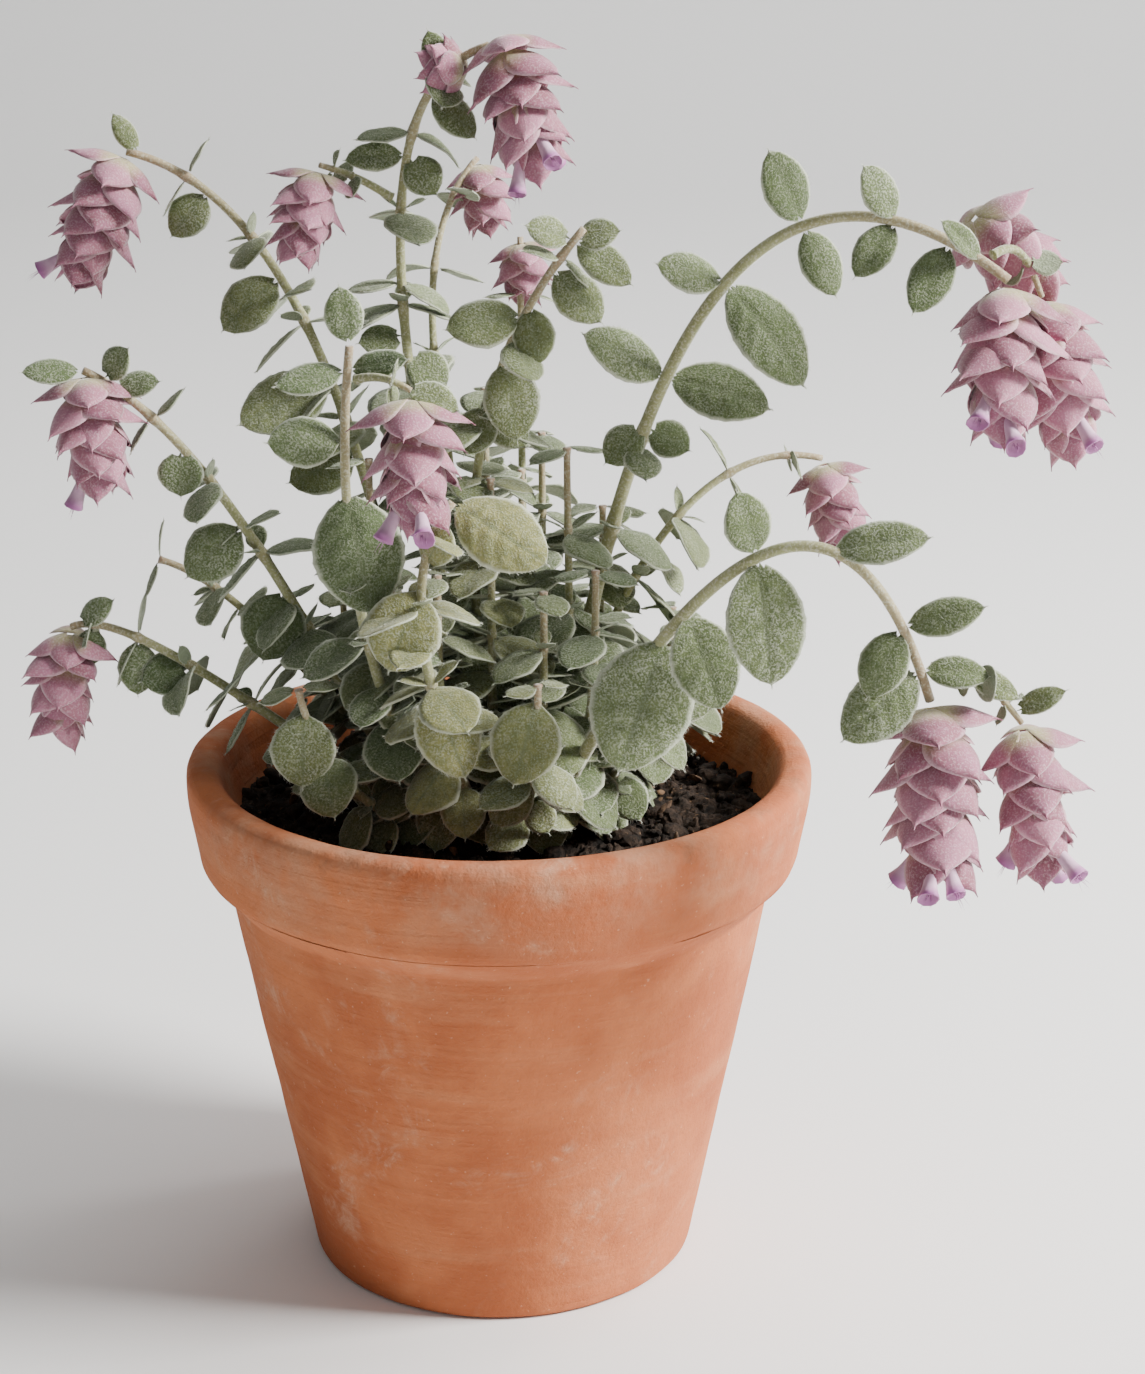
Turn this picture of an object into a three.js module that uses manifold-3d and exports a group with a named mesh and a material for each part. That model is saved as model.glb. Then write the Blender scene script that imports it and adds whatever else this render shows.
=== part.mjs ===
// Potted dittany of Crete (Origanum dictamnus): a clay pot, its soil, the woody root crown,
// and the leafy shoots with their hanging, hop-like flower heads.
// Millimetres, +Z up. The plant and pot are laid out about the pot's axis, with Z from the pot's
// foot, and the whole group is then moved so that the origin is at the bottom centre of its box.
import * as THREE from "three";
import { mergeVertices } from "three/addons/utils/BufferGeometryUtils.js";
import Module from "manifold-3d";

const wasm = await Module();
wasm.setup();

// ---------------------------------------------------------------- driving dimensions
const RIM_RADIUS = 70; // half of a 14 cm pot
const POT_HEIGHT = 119;
const FOOT_RADIUS = 44;
const LIP_ROUND = 3.6; // half of the wall at the rounded rim
const COLLAR_DROP = 22; // from the rim down to the collar's lower outer edge
const STEP_DROP = 28.4; // from the rim down to where the body starts
const STEP_RADIUS = 61.2;
const BODY_WALL = 6.4;
const FLOOR_THICKNESS = 9;
const DRAIN_RADIUS = 7;
const POT_SIDES = 36;

const SOIL_TOP = POT_HEIGHT - 14;
const SOIL_MOUND = 2.5; // how much higher the soil lies at the stems than at the wall
const GAP = 0.35; // left between pieces that touch
const GRID = 0.002; // corners lie on a grid of this step
const CROWN_TOP = SOIL_TOP + SOIL_MOUND; // the woody crown just shows at the soil's surface
const CROWN_RADIUS = 21;

const STEM_SIDES = 5;
const STEM_STEP = 14; // length of one straight stretch of a stem
const LEAF_POINTS = 6; // corners of a leaf's outline
const LEAF_WIDTH = 0.82; // share of the length
const LEAF_SHEET = 1.0; // thickness at the midrib
const LEAF_LIFT = 0.35; // how far a leaf leans towards the shoot's tip
const PETIOLE = 0.1; // share of the leaf's length between stem and blade
// Sizes and turns that a leaf tries until it is clear of the rest.
const LEAF_TRIES = [1, 0.85, 0.7].flatMap((size) => [0, 14, -14, 28, -28].map((shift) => [size, shift]));

// ---------------------------------------------------------------- the plant
// Each shoot is a Bezier curve: its foot on the crown, two handles and its tip. Its stem carries
// `pairs` pairs of leaves, `leaf` long, over the `leafy` share of the curve, and each pair is
// turned a quarter from the last.
const SHOOTS = {
  right_lower_arch: { radius: 1.45, curve: [[10, -15, 107], [20, -55, 145], [60, -75, 232], [86, -64, 152]],
    leafy: [0.12, 0.3], pairs: 2, leaf: 16, turn: 0 },
  front_left: { radius: 1.3, curve: [[-10, -15, 107], [-28, -25, 135], [-34, -40, 180], [-29, -43, 220]],
    leafy: [0.15, 0.62], pairs: 4, leaf: 18, turn: 0 },
  front_centre: { radius: 1.3, curve: [[-4, -17, 107], [-8, -45, 130], [-25, -50, 170], [-9, -43, 188]],
    leafy: [0.3, 0.9], pairs: 4, leaf: 16, turn: 30 },
  right_arch: { radius: 1.5, curve: [[13, 1, 107], [25, 5, 190], [45, -30, 275], [102, -40, 232]],
    leafy: [0.08, 0.36], pairs: 4, leaf: 18, turn: 0 },
  centre_rosette: { radius: 1.2, curve: [[1, 0, 107], [-5, -2, 150], [-15, -15, 200], [18, -24, 240]],
    leafy: [0.12, 0.95], pairs: 7, leaf: 16, turn: 20 },
  top: { radius: 1.3, curve: [[-6, 9, 107], [-10, 25, 160], [-40, 30, 260], [-1, 10, 273]],
    leafy: [0.1, 0.9], pairs: 8, leaf: 17, turn: 10 },
  left_high: { radius: 1.3, curve: [[-12, 13, 107], [-25, 15, 150], [-35, 45, 235], [-81, 34, 248]],
    leafy: [0.1, 0.9], pairs: 7, leaf: 17, turn: 0 },
  left: { radius: 1.3, curve: [[-17, 1, 107], [-35, 0, 125], [-55, 0, 190], [-87, -8, 208]],
    leafy: [0.15, 0.85], pairs: 6, leaf: 16, turn: 90 },
  lower_left: { radius: 1.2, curve: [[-18, -4, 107], [-40, -8, 120], [-80, 0, 155], [-94, 0, 149]],
    leafy: [0.3, 0.9], pairs: 5, leaf: 13, turn: 90 },
  left_leafy: { radius: 1.1, curve: [[-16, 7, 107], [-35, 12, 120], [-55, 12, 155], [-75, 8, 162]],
    leafy: [0.2, 1], pairs: 5, leaf: 15, turn: 0 },
  right_back: { radius: 1.1, curve: [[14, 9, 107], [20, 12, 140], [40, 15, 190], [73, 20, 181]],
    leafy: [0.15, 0.92], pairs: 6, leaf: 15, turn: 0 },
  back_top: { radius: 1.1, curve: [[-1, 17, 107], [0, 40, 150], [-30, 45, 215], [-4, 65, 242]],
    leafy: [0.2, 0.92], pairs: 6, leaf: 15, turn: 0 },
  back_hidden: { radius: 1.1, curve: [[6, 17, 107], [6, 45, 125], [6, 70, 180], [6, 75, 222]],
    leafy: [0.25, 0.9], pairs: 5, leaf: 15, turn: 0 },
  low_front: { radius: 1.1, curve: [[3, -16, 107], [5, -35, 110], [8, -46, 130], [8, -46, 150]],
    leafy: [0.4, 1], pairs: 3, leaf: 13, turn: 40 },
  low_right: { radius: 1.1, curve: [[16, -8, 107], [24, -18, 112], [32, -24, 135], [33, -25, 150]],
    leafy: [0.35, 1], pairs: 3, leaf: 15, turn: 60 },
  low_left: { radius: 1.1, curve: [[-15, -10, 107], [-28, -25, 110], [-40, -32, 130], [-42, -33, 145]],
    leafy: [0.35, 1], pairs: 3, leaf: 14, turn: 0 },
};

// Side branches: the shoot each grows on, where along it, and its handle and tip from there.
const BRANCH_STEP = 2.7; // from the shoot's middle to where the branch starts
const BRANCHES = {
  top_left_branch: { radius: 0.9, on: "top", at: 0.68, handle: [-7, -3, 5], tip: [-15, -7, 8],
    leafy: [0.5, 0.8], pairs: 2, leaf: 8, turn: 90 },
  front_left_branch: { radius: 0.9, on: "front_left", at: 0.94, handle: [5, -4, 2], tip: [11, -6, -1],
    leafy: [0.6, 0.6], pairs: 1, leaf: 7, turn: 40 },
  right_arch_branch: { radius: 0.9, on: "right_arch", at: 0.97, handle: [6, 4, 3], tip: [12, 9, -10],
    leafy: [0.6, 0.6], pairs: 1, leaf: 7, turn: 30 },
  right_lower_branch: { radius: 0.9, on: "right_lower_arch", at: 0.97, handle: [8, 2, 1], tip: [19, 3, -13],
    leafy: [0.4, 0.8], pairs: 2, leaf: 9, turn: 60 },
};

// Flower heads: the shoot whose tip each hangs on, a step from that tip to its top where it has a
// stalk of its own, the way from its top to its tip, its width and its tiers.
const HEADS = {
  front_left: { on: "front_left_branch", hang: [1, -2, -26], width: 22, tiers: 4 },
  right_lower_front: { on: "right_lower_arch", hang: [3, -4, -38], width: 25, tiers: 6 },
  right_lower_side: { on: "right_lower_branch", hang: [6, -2, -31], width: 20, tiers: 5 },
  right_arch_front: { on: "right_arch", hang: [-1, -3, -30], width: 24, tiers: 5 },
  right_arch_side: { on: "right_arch_branch", hang: [8, 0, -32], width: 23, tiers: 5 },
  right_arch_back: { on: "right_arch", step: [-5, 14, 10], hang: [18, 6, -16], width: 19, tiers: 4 },
  left: { on: "left", hang: [3, -1, -25], width: 20, tiers: 5 },
  lower_left: { on: "lower_left", hang: [-4, 0, -25], width: 16, tiers: 4 },
  left_high: { on: "left_high", hang: [-12, -3, -28], width: 21, tiers: 5 },
  top: { on: "top", step: [3, 0, 2], hang: [8, -2, -29], width: 22, tiers: 5 },
  top_side: { on: "top", step: [-5, 2, -5], hang: [-9, 3, 0], width: 11, tiers: 2 },
  top_left: { on: "top_left_branch", hang: [-5, -2, -19], width: 15, tiers: 4 },
  right_back: { on: "right_back", hang: [6, 0, -21], width: 15, tiers: 4 },
  back_top: { on: "back_top", hang: [2, 0, -16], width: 13, tiers: 3 },
  back_hidden: { on: "back_hidden", hang: [1, 1, -15], width: 12, tiers: 3 },
};
const HEAD_STEP = 1.6; // from a shoot's tip to the head's top, along the head

// Single leaves that face the front: where along the shoot, length, width, and the way the leaf
// points as seen from the front, in degrees up from the right.
const FACING = {
  right_lower_arch: [
    [0.4, 28, 21, -115], [0.45, 20, 14, -70], [0.6, 14, 10, 105], [0.6, 25, 16, -80],
    [0.75, 19, 9, 15], [0.92, 15, 10, -120], [0.92, 16, 8, 25], [0.97, 20, 13, -145], [0.97, 13, 7, 5]],
  right_lower_branch: [[0.3, 12, 6, -20], [0.9, 11, 5, 30]],
  right_arch: [
    [0.38, 11, 9, -145], [0.38, 10, 9, -20], [0.44, 20, 11, 145], [0.44, 22, 13, -10],
    [0.58, 15, 9, 160], [0.58, 26, 14, -45], [0.72, 17, 10, 115], [0.72, 15, 9, -60],
    [0.86, 13, 8, 120], [0.86, 13, 8, -135], [0.93, 15, 9, -120], [0.97, 12, 5, 135]],
  centre_rosette: [
    [0.7, 11, 9, -120], [0.7, 11, 9, -50], [0.78, 17, 12, -80], [0.85, 16, 11, 180],
    [0.87, 12, 9, -85], [0.93, 14, 10, -45], [0.98, 10, 7, 150], [0.98, 9, 7, 20], [0.98, 14, 8, -30]],
  front_left: [[0.75, 25, 19, -80], [0.84, 15, 11, 170], [0.96, 14, 7, -175], [0.96, 12, 7, 20], [1, 12, 8, 100]],
  front_left_branch: [[0.9, 11, 7, -10]],
  front_centre: [[0.5, 20, 14, -70], [0.75, 18, 16, -115], [0.8, 10, 8, 60], [1, 22, 15, -30]],
  low_front: [[0.5, 8, 7, -65], [0.6, 12, 9, -140], [0.95, 18, 15, -100]],
  low_right: [[0.4, 11, 9, -55], [0.85, 14, 13, -10]],
  low_left: [[0.6, 9, 8, 150], [0.9, 16, 14, -90]],
  left_high: [
    [0.45, 16, 12, -165], [0.55, 22, 15, -155], [0.7, 17, 12, -140], [0.86, 12, 10, -135], [0.98, 10, 5, 115]],
  top: [
    [0.5, 11, 10, -40], [0.52, 10, 8, 180], [0.75, 13, 7, 180], [0.75, 10, 9, -55],
    [0.86, 13, 8, -40], [0.9, 9, 6, 105]],
  left: [
    [0.5, 16, 15, -110], [0.62, 16, 13, -140], [0.78, 10, 10, -95], [0.94, 10, 6, 10],
    [0.96, 9, 7, 55], [1, 12, 6, 170]],
  lower_left: [
    [0.35, 9, 8, -110], [0.6, 11, 10, -165], [0.75, 12, 9, -95], [0.9, 9, 7, -95], [0.97, 10, 6, 45]],
};
const FORWARD = 0.35; // how far those leaves lean to the front
const FACE_UP = 0.7; // and how far their faces look up

// Short leafy shoots that fill the middle: heading about the axis, reach and height of the tip.
const FILLS = [
  [200, 14, 196], [340, 16, 190], [98, 18, 198], [60, 20, 188], [265, 16, 186], [160, 30, 184],
  [220, 30, 178], [245, 30, 168], [290, 28, 164], [310, 32, 168], [42, 32, 170], [80, 32, 176],
  [144, 44, 150], [20, 42, 148], [60, 46, 146],
];

function fillShoot([heading, reach, top], number) {
  const angle = THREE.MathUtils.degToRad(heading);
  const at = (out, z) => [out * Math.cos(angle), out * Math.sin(angle), z];
  const rise = top - CROWN_TOP;
  const foot = 6 + reach * 0.22;
  return {
    radius: 1.1, curve: [at(foot, CROWN_TOP - 0.5), at(foot + reach * 0.6, CROWN_TOP + rise * 0.2),
      at(reach, CROWN_TOP + rise * 0.6), at(reach, top)],
    leafy: [0.25, 1], pairs: 5, leaf: 17, turn: number * 37,
  };
}

// ---------------------------------------------------------------- solids
// A closed mesh as a manifold-3d solid.
function solid(geometry) {
  geometry.deleteAttribute("normal");
  geometry.deleteAttribute("uv");
  const merged = mergeVertices(geometry, 1e-4);
  return new wasm.Manifold(new wasm.Mesh({
    numProp: 3,
    vertProperties: merged.attributes.position.array,
    triVerts: new Uint32Array(merged.index.array),
  }));
}

function union(solids) {
  return wasm.Manifold.union(solids);
}

// The largest of a solid's separate bodies, so that what a cut left loose is dropped.
function largestBody(whole) {
  const bodies = whole.decompose().sort((a, b) => b.volume() - a.volume());
  return bodies[0];
}

// A named mesh of a solid. Corners closer than the grid's step become one, which leaves out
// the slivers that joining can make.
function nodeMesh(name, whole, material) {
  const made = whole.getMesh();
  const places = new Map();
  const positions = [];
  const index = Array.from({ length: made.numVert }, (_, i) => {
    const at = Array.from(made.vertProperties.slice(i * 3, i * 3 + 3)).map((v) => Math.round(v / GRID));
    const key = at.join();
    if (!places.has(key)) {
      places.set(key, places.size);
      positions.push(...at.map((v) => v * GRID));
    }
    return places.get(key);
  });
  const triangles = [];
  for (let t = 0; t < made.triVerts.length; t += 3) {
    const [a, b, c] = Array.from(made.triVerts.slice(t, t + 3)).map((v) => index[v]);
    if (a !== b && b !== c && c !== a) triangles.push(a, b, c);
  }
  const geometry = new THREE.BufferGeometry();
  geometry.setAttribute("position", new THREE.Float32BufferAttribute(positions, 3));
  geometry.setIndex(triangles);
  const mesh = new THREE.Mesh(geometry, material);
  mesh.name = name;
  return mesh;
}

// A round stem along a path, with its ends closed.
function tube(path, radius, steps) {
  const section = new THREE.Shape();
  for (let i = 0; i < STEM_SIDES; i++) {
    const angle = (i / STEM_SIDES) * Math.PI * 2;
    const [x, y] = [radius * Math.cos(angle), radius * Math.sin(angle)];
    if (i === 0) section.moveTo(x, y);
    else section.lineTo(x, y);
  }
  section.closePath();
  return solid(new THREE.ExtrudeGeometry(section, { steps, extrudePath: path, curveSegments: 1 }));
}

// One leaf: a thin domed sheet, whose outline is drawn round a cone's foot. The leaf grows from
// its own origin along +Y, with its upper face up +Z.
function leafShape(length, width, grow) {
  const cone = new THREE.ConeGeometry(1, 1, LEAF_POINTS, 1);
  const at = cone.getAttribute("position");
  const blade = length * (1 - PETIOLE);
  const point = new THREE.Vector3();
  for (let i = 0; i < at.count; i++) {
    point.fromBufferAttribute(at, i);
    const onRim = Math.hypot(point.x, point.z) > 0.5;
    if (onRim) {
      const angle = Math.atan2(-point.x, point.z); // 0 at the leaf's tip
      const along = 0.5 + 0.5 * Math.cos(angle);
      const droop = -0.16 * length * along * along;
      const side = Math.sin(angle) * (0.5 * width + grow);
      const y = length * PETIOLE * 0.2 + (blade + length * PETIOLE * 0.8) * along;
      at.setXYZ(i, side * (1.12 - 0.24 * along), y + grow * Math.cos(angle), droop - grow * 0.2);
    } else {
      const upper = point.y > 0;
      const lift = 0.07 * length + (upper ? LEAF_SHEET / 2 + grow : -LEAF_SHEET / 2 - grow);
      at.setXYZ(i, 0, length * 0.52, lift - 0.05 * length);
    }
  }
  return cone;
}

// A leaf at a point, growing along out with its upper face towards face.
function leafTowards(point, out, face, length, width, grow) {
  const upper = face.clone().addScaledVector(out, -face.dot(out)).normalize();
  const across = out.clone().cross(upper);
  const frame = new THREE.Matrix4().makeBasis(across, out, upper).setPosition(point);
  return solid(leafShape(length, width, grow).applyMatrix4(frame));
}

// One leaf of the pair at a joint of a stem; the pair's halves are 180 degrees apart in turn.
function pairLeaf(point, tangent, length, turn, grow) {
  const up = new THREE.Vector3(0, 0, 1);
  const side = new THREE.Vector3(0, 1, 0).cross(tangent).normalize();
  const back = tangent.clone().cross(side).normalize();
  const angle = THREE.MathUtils.degToRad(turn);
  const out = side.clone().multiplyScalar(Math.cos(angle))
    .addScaledVector(back, Math.sin(angle))
    .addScaledVector(tangent, LEAF_LIFT).normalize()
    .addScaledVector(up, -0.15 - 0.028 * length).normalize();
  return leafTowards(point, out, tangent.clone().addScaledVector(up, 0.3), length, length * LEAF_WIDTH, grow);
}

// One of the single leaves that face the front.
function facingLeaf(point, length, width, turn, grow) {
  const angle = THREE.MathUtils.degToRad(turn);
  const out = new THREE.Vector3(Math.cos(angle), -FORWARD, Math.sin(angle)).normalize();
  return leafTowards(point, out, new THREE.Vector3(0, -1, FACE_UP), length, width, grow);
}

function curveOf({ curve }) {
  return new THREE.CubicBezierCurve3(...curve.map((point) => new THREE.Vector3(...point)));
}

// A branch as a shoot of its own, once its parent is known.
function branchShoot(branch, parent) {
  const handle = new THREE.Vector3(...branch.handle);
  const start = curveOf(parent).getPoint(branch.at).addScaledVector(handle.clone().normalize(), BRANCH_STEP);
  const tip = start.clone().add(new THREE.Vector3(...branch.tip));
  const first = start.clone().add(handle);
  const second = first.clone().lerp(tip, 0.4);
  return { ...branch, curve: [start, first, second, tip].map((point) => point.toArray()) };
}

// The ends of a head, from the tip of the shoot that it hangs on.
function hungHead(head) {
  const hang = new THREE.Vector3(...head.hang);
  const step = head.step ? new THREE.Vector3(...head.step) : hang.clone().normalize().multiplyScalar(HEAD_STEP);
  const from = new THREE.Vector3(...shoots[head.on].curve[3]).add(step);
  return { ...head, from: from.toArray(), to: from.clone().add(hang).toArray() };
}

// The leaf pairs of a shoot: where on its curve, how long and how turned each is.
function pairsOf({ leafy, pairs, leaf, turn }) {
  return Array.from({ length: pairs }, (_, k) => {
    const share = pairs > 1 ? k / (pairs - 1) : 0.5;
    return { at: leafy[0] + (leafy[1] - leafy[0]) * share,
      length: leaf * (1.1 - 0.2 * Math.abs(2 * share - 1) - 0.35 * share ** 2), turn: turn + 90 * k };
  });
}

function stemOf(shoot, grow) {
  const path = curveOf(shoot);
  return tube(path, shoot.radius + grow, Math.max(4, Math.round(path.getLength() / STEM_STEP)));
}

// A flower head: tiers of four bracts, each tier turned an eighth of a turn from the last,
// round a short stalk.
function flowerHead({ from, to, width, tiers }, grow = 0) {
  const top = new THREE.Vector3(...from);
  const axis = new THREE.Vector3(...to).sub(top);
  const length = axis.length() + grow;
  const step = length / (tiers + 0.6);
  const profile = [new THREE.Vector2(0, 1.2 + grow), new THREE.Vector2(0.9 + grow, 1.2 + grow)];
  for (let k = 0; k < tiers; k++) {
    const share = (k + 0.5) / tiers;
    const out = (width / 2) * (0.78 + 0.3 * Math.sin(Math.PI * Math.min(1, share * 1.1))) + grow;
    profile.push(new THREE.Vector2(out * 0.52, -k * step - 0.1));
    profile.push(new THREE.Vector2(out * (k === tiers - 1 ? 0.8 : 1), -(k + 0.9) * step));
  }
  profile.push(new THREE.Vector2(width * 0.2, -length + 0.4), new THREE.Vector2(0, -length));
  profile.reverse();
  const lathe = new THREE.LatheGeometry(profile, 8);
  const at = lathe.getAttribute("position");
  for (let i = 0; i < at.count; i++) {
    const [x, y, z] = [at.getX(i), at.getY(i), at.getZ(i)];
    const tier = Math.floor(-y / step);
    const corner = Math.cos(4 * Math.atan2(x, z) + tier * Math.PI);
    const reach = 0.92 + 0.08 * corner;
    at.setXYZ(i, x * reach, y, z * reach);
  }
  const turn = new THREE.Quaternion().setFromUnitVectors(
    new THREE.Vector3(0, -1, 0), axis.clone().normalize());
  lathe.applyQuaternion(turn).translate(top.x, top.y, top.z);
  return solid(lathe);
}

// A lathe solid about the pot's axis, from a closed profile of radius and height.
function turned(profile, sides) {
  const lathe = new THREE.LatheGeometry(profile.map(([r, z]) => new THREE.Vector2(r, z)), sides);
  return solid(lathe.rotateX(Math.PI / 2));
}

// Points of an arc in the profile plane, in degrees from the outward direction.
function arc(r, z, radius, start, end, steps) {
  return Array.from({ length: steps + 1 }, (_, i) => {
    const angle = THREE.MathUtils.degToRad(start + ((end - start) * i) / steps);
    return [r + radius * Math.cos(angle), z + radius * Math.sin(angle)];
  });
}

// Radius of the pot's inner wall at a height.
function innerRadius(z) {
  const collarStart = POT_HEIGHT - STEP_DROP;
  const lipInner = RIM_RADIUS - 2 * LIP_ROUND;
  const bodyTop = STEP_RADIUS - BODY_WALL;
  const bodyBottom = FOOT_RADIUS - BODY_WALL;
  if (z >= collarStart) {
    const share = (z - collarStart) / (POT_HEIGHT - LIP_ROUND - collarStart);
    return bodyTop + (lipInner - bodyTop) * Math.min(1, share);
  }
  return bodyBottom + ((bodyTop - bodyBottom) * (z - FLOOR_THICKNESS)) / (collarStart - FLOOR_THICKNESS);
}

function potSolid(grow = 0) {
  const lip = RIM_RADIUS - LIP_ROUND;
  const wall = turned([
    [DRAIN_RADIUS, 0],
    ...arc(FOOT_RADIUS - 1.5, 1.5, 1.5, -90, 0, 2),
    [STEP_RADIUS, POT_HEIGHT - STEP_DROP],
    [RIM_RADIUS - 3.2, POT_HEIGHT - COLLAR_DROP],
    ...arc(lip, POT_HEIGHT - LIP_ROUND, LIP_ROUND, 0, 180, 6),
    [innerRadius(POT_HEIGHT - STEP_DROP), POT_HEIGHT - STEP_DROP],
    [innerRadius(FLOOR_THICKNESS), FLOOR_THICKNESS],
    [DRAIN_RADIUS, FLOOR_THICKNESS],
    [DRAIN_RADIUS, 0],
  ], POT_SIDES);
  const swell = 1 + grow / RIM_RADIUS;
  return wall.scale([swell, swell, swell]);
}

// The soil fills the pot from its floor, and rises a little towards the stems.
function soilSolid(grow = 0) {
  const side = (z) => [innerRadius(z) - GAP - 0.2 + grow, z];
  return turned([
    [0, FLOOR_THICKNESS + GAP],
    side(FLOOR_THICKNESS + GAP),
    side(POT_HEIGHT - STEP_DROP),
    side(SOIL_TOP + grow),
    [CROWN_RADIUS * 1.6, SOIL_TOP + SOIL_MOUND * 0.6 + grow],
    [CROWN_RADIUS * 0.9, SOIL_TOP + SOIL_MOUND * 0.8 + grow],
    [0, SOIL_TOP + SOIL_MOUND * 0.8 + grow],
  ], POT_SIDES);
}

// The woody crown that all shoots rise from, with its main roots.
function rootCrown(grow = 0) {
  const crown = turned([
    [0, 86 - grow], [12, 87 - grow], [CROWN_RADIUS - 2 + grow, 96],
    [CROWN_RADIUS + grow, CROWN_TOP - 3], [CROWN_RADIUS - 1.5 + grow, CROWN_TOP + grow],
    [0, CROWN_TOP + grow]], 12);
  const roots = Array.from({ length: 6 }, (_, i) => {
    const heading = (i / 6) * Math.PI * 2 + 0.4;
    const at = (radius, z) => new THREE.Vector3(
      radius * Math.cos(heading + z * 0.004), radius * Math.sin(heading + z * 0.004), z);
    const path = new THREE.CubicBezierCurve3(at(8, 92), at(22, 74), at(30, 42), at(26, 20 - grow));
    return tube(path, 1.8 + grow, 4);
  });
  return union([crown, ...roots]);
}

// ---------------------------------------------------------------- materials
const finish = (color, roughness) => new THREE.MeshStandardMaterial({ color, roughness, metalness: 0 });
const CLAY = finish("#b5673f", 0.9);
const SOIL = finish("#2b1d15", 1.0);
const WOOD = finish("#7a5a3c", 0.9);
const LEAF = finish("#7d917a", 0.85);
const BRACT = finish("#bd8299", 0.8);

// ---------------------------------------------------------------- assembly
const plant = new THREE.Group();
const taken = []; // swollen copies of the pieces already placed, each with its piece's name

function near(whole, own) {
  const box = whole.boundingBox();
  return taken.filter(({ name, swollen }) => {
    const other = swollen.boundingBox();
    return name !== own && [0, 1, 2].every(
      (k) => other.min[k] < box.max[k] && other.max[k] > box.min[k]);
  }).map(({ swollen }) => swollen);
}

// How much of a piece lies in the space of other pieces.
function clash(whole, own) {
  return near(whole, own).reduce((sum, other) => sum + whole.intersect(other).volume(), 0);
}

function take(name, swollen) {
  taken.push({ name, swollen });
}

take("terracotta_pot", potSolid(GAP));
take("potting_soil", soilSolid(GAP));
take("root_crown", rootCrown(GAP));
plant.add(nodeMesh("terracotta_pot", potSolid(), CLAY));
plant.add(nodeMesh("potting_soil",
  largestBody(soilSolid().subtract(rootCrown(GAP))), SOIL));
plant.add(nodeMesh("root_crown", rootCrown(), WOOD));

// The stems come first, so that no head or leaf takes a stem's place.
const ground = union([rootCrown(GAP), soilSolid(GAP)]);
const shoots = { ...SHOOTS };
for (const [name, branch] of Object.entries(BRANCHES)) shoots[name] = branchShoot(branch, SHOOTS[branch.on]);
FILLS.forEach((fill, i) => {
  shoots[`fill_${String(i + 1).padStart(2, "0")}`] = fillShoot(fill, i);
});
for (const [name, one] of Object.entries(shoots)) {
  take(`shoot_${name}`, stemOf(one, GAP));
}

for (const [name, row] of Object.entries(HEADS)) {
  const head = hungHead(row);
  const whole = flowerHead(head);
  plant.add(nodeMesh(`head_${name}`, largestBody(whole.subtract(union(near(whole, "")))), BRACT));
  take(`head_${name}`, flowerHead(head, GAP));
}

// Each leaf takes the first size and turn that keep it clear of everything already placed.
for (const [name, one] of Object.entries(shoots)) {
  const own = `shoot_${name}`;
  const pieces = [largestBody(stemOf(one, 0).subtract(ground))];
  const place = (leafOf) => {
    const found = LEAF_TRIES.find(([size, shift]) => clash(leafOf(size, shift, 0), own) === 0);
    if (!found) return;
    pieces.push(leafOf(...found, 0));
    take(own, leafOf(...found, GAP));
  };
  const path = curveOf(one);
  for (const [at, length, width, turn] of FACING[name] ?? []) {
    place((size, shift, grow) => facingLeaf(path.getPoint(at), length * size, width * size, turn + shift, grow));
  }
  for (const { at, length, turn } of pairsOf(one)) {
    for (const half of [0, 180]) {
      place((size, shift, grow) => pairLeaf(
        path.getPoint(at), path.getTangent(at), length * size, turn + half + shift, grow));
    }
  }
  plant.add(nodeMesh(own, largestBody(union(pieces)), LEAF));
}

// The origin goes to the bottom centre of the whole object's box.
const box = new THREE.Box3().setFromObject(plant);
const centre = box.getCenter(new THREE.Vector3());
plant.position.set(-centre.x, -centre.y, -box.min.z);

export default plant;
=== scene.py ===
# %% [markdown]
# # A potted dittany of Crete
# This notebook builds the looks of a small clay pot with a woolly herb in it. The construction
# model already says where everything is: the pot, the soil, each stem with its leaves and each
# hanging flower head. Here every one of those plain solids is replaced by a finished mesh that
# lies in the same place.

import math

import bmesh
import bpy
import numpy as np
from mathutils import Matrix, Vector


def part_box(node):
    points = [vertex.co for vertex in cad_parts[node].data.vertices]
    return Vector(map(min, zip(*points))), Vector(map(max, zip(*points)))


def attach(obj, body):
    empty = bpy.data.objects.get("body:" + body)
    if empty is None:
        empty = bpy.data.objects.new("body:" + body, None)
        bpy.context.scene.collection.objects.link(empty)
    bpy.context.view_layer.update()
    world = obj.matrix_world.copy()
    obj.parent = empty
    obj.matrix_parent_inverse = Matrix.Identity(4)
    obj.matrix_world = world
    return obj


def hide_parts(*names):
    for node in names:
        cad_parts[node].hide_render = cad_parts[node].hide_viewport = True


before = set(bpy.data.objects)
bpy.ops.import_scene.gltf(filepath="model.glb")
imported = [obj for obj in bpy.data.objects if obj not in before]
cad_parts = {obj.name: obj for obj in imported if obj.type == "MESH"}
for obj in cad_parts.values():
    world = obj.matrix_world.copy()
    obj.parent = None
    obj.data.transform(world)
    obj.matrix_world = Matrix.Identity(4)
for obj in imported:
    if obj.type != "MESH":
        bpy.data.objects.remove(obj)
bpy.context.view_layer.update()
print("nodes", len(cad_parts))

# %% [markdown]
# ## Lengths and the pot's axis
# Blender works in metres, and plants are easier to think about in millimetres, so lengths are
# written in millimetres and multiplied by MM. The plant is laid out about the pot's axis, which
# is the middle of the pot's box.

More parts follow.
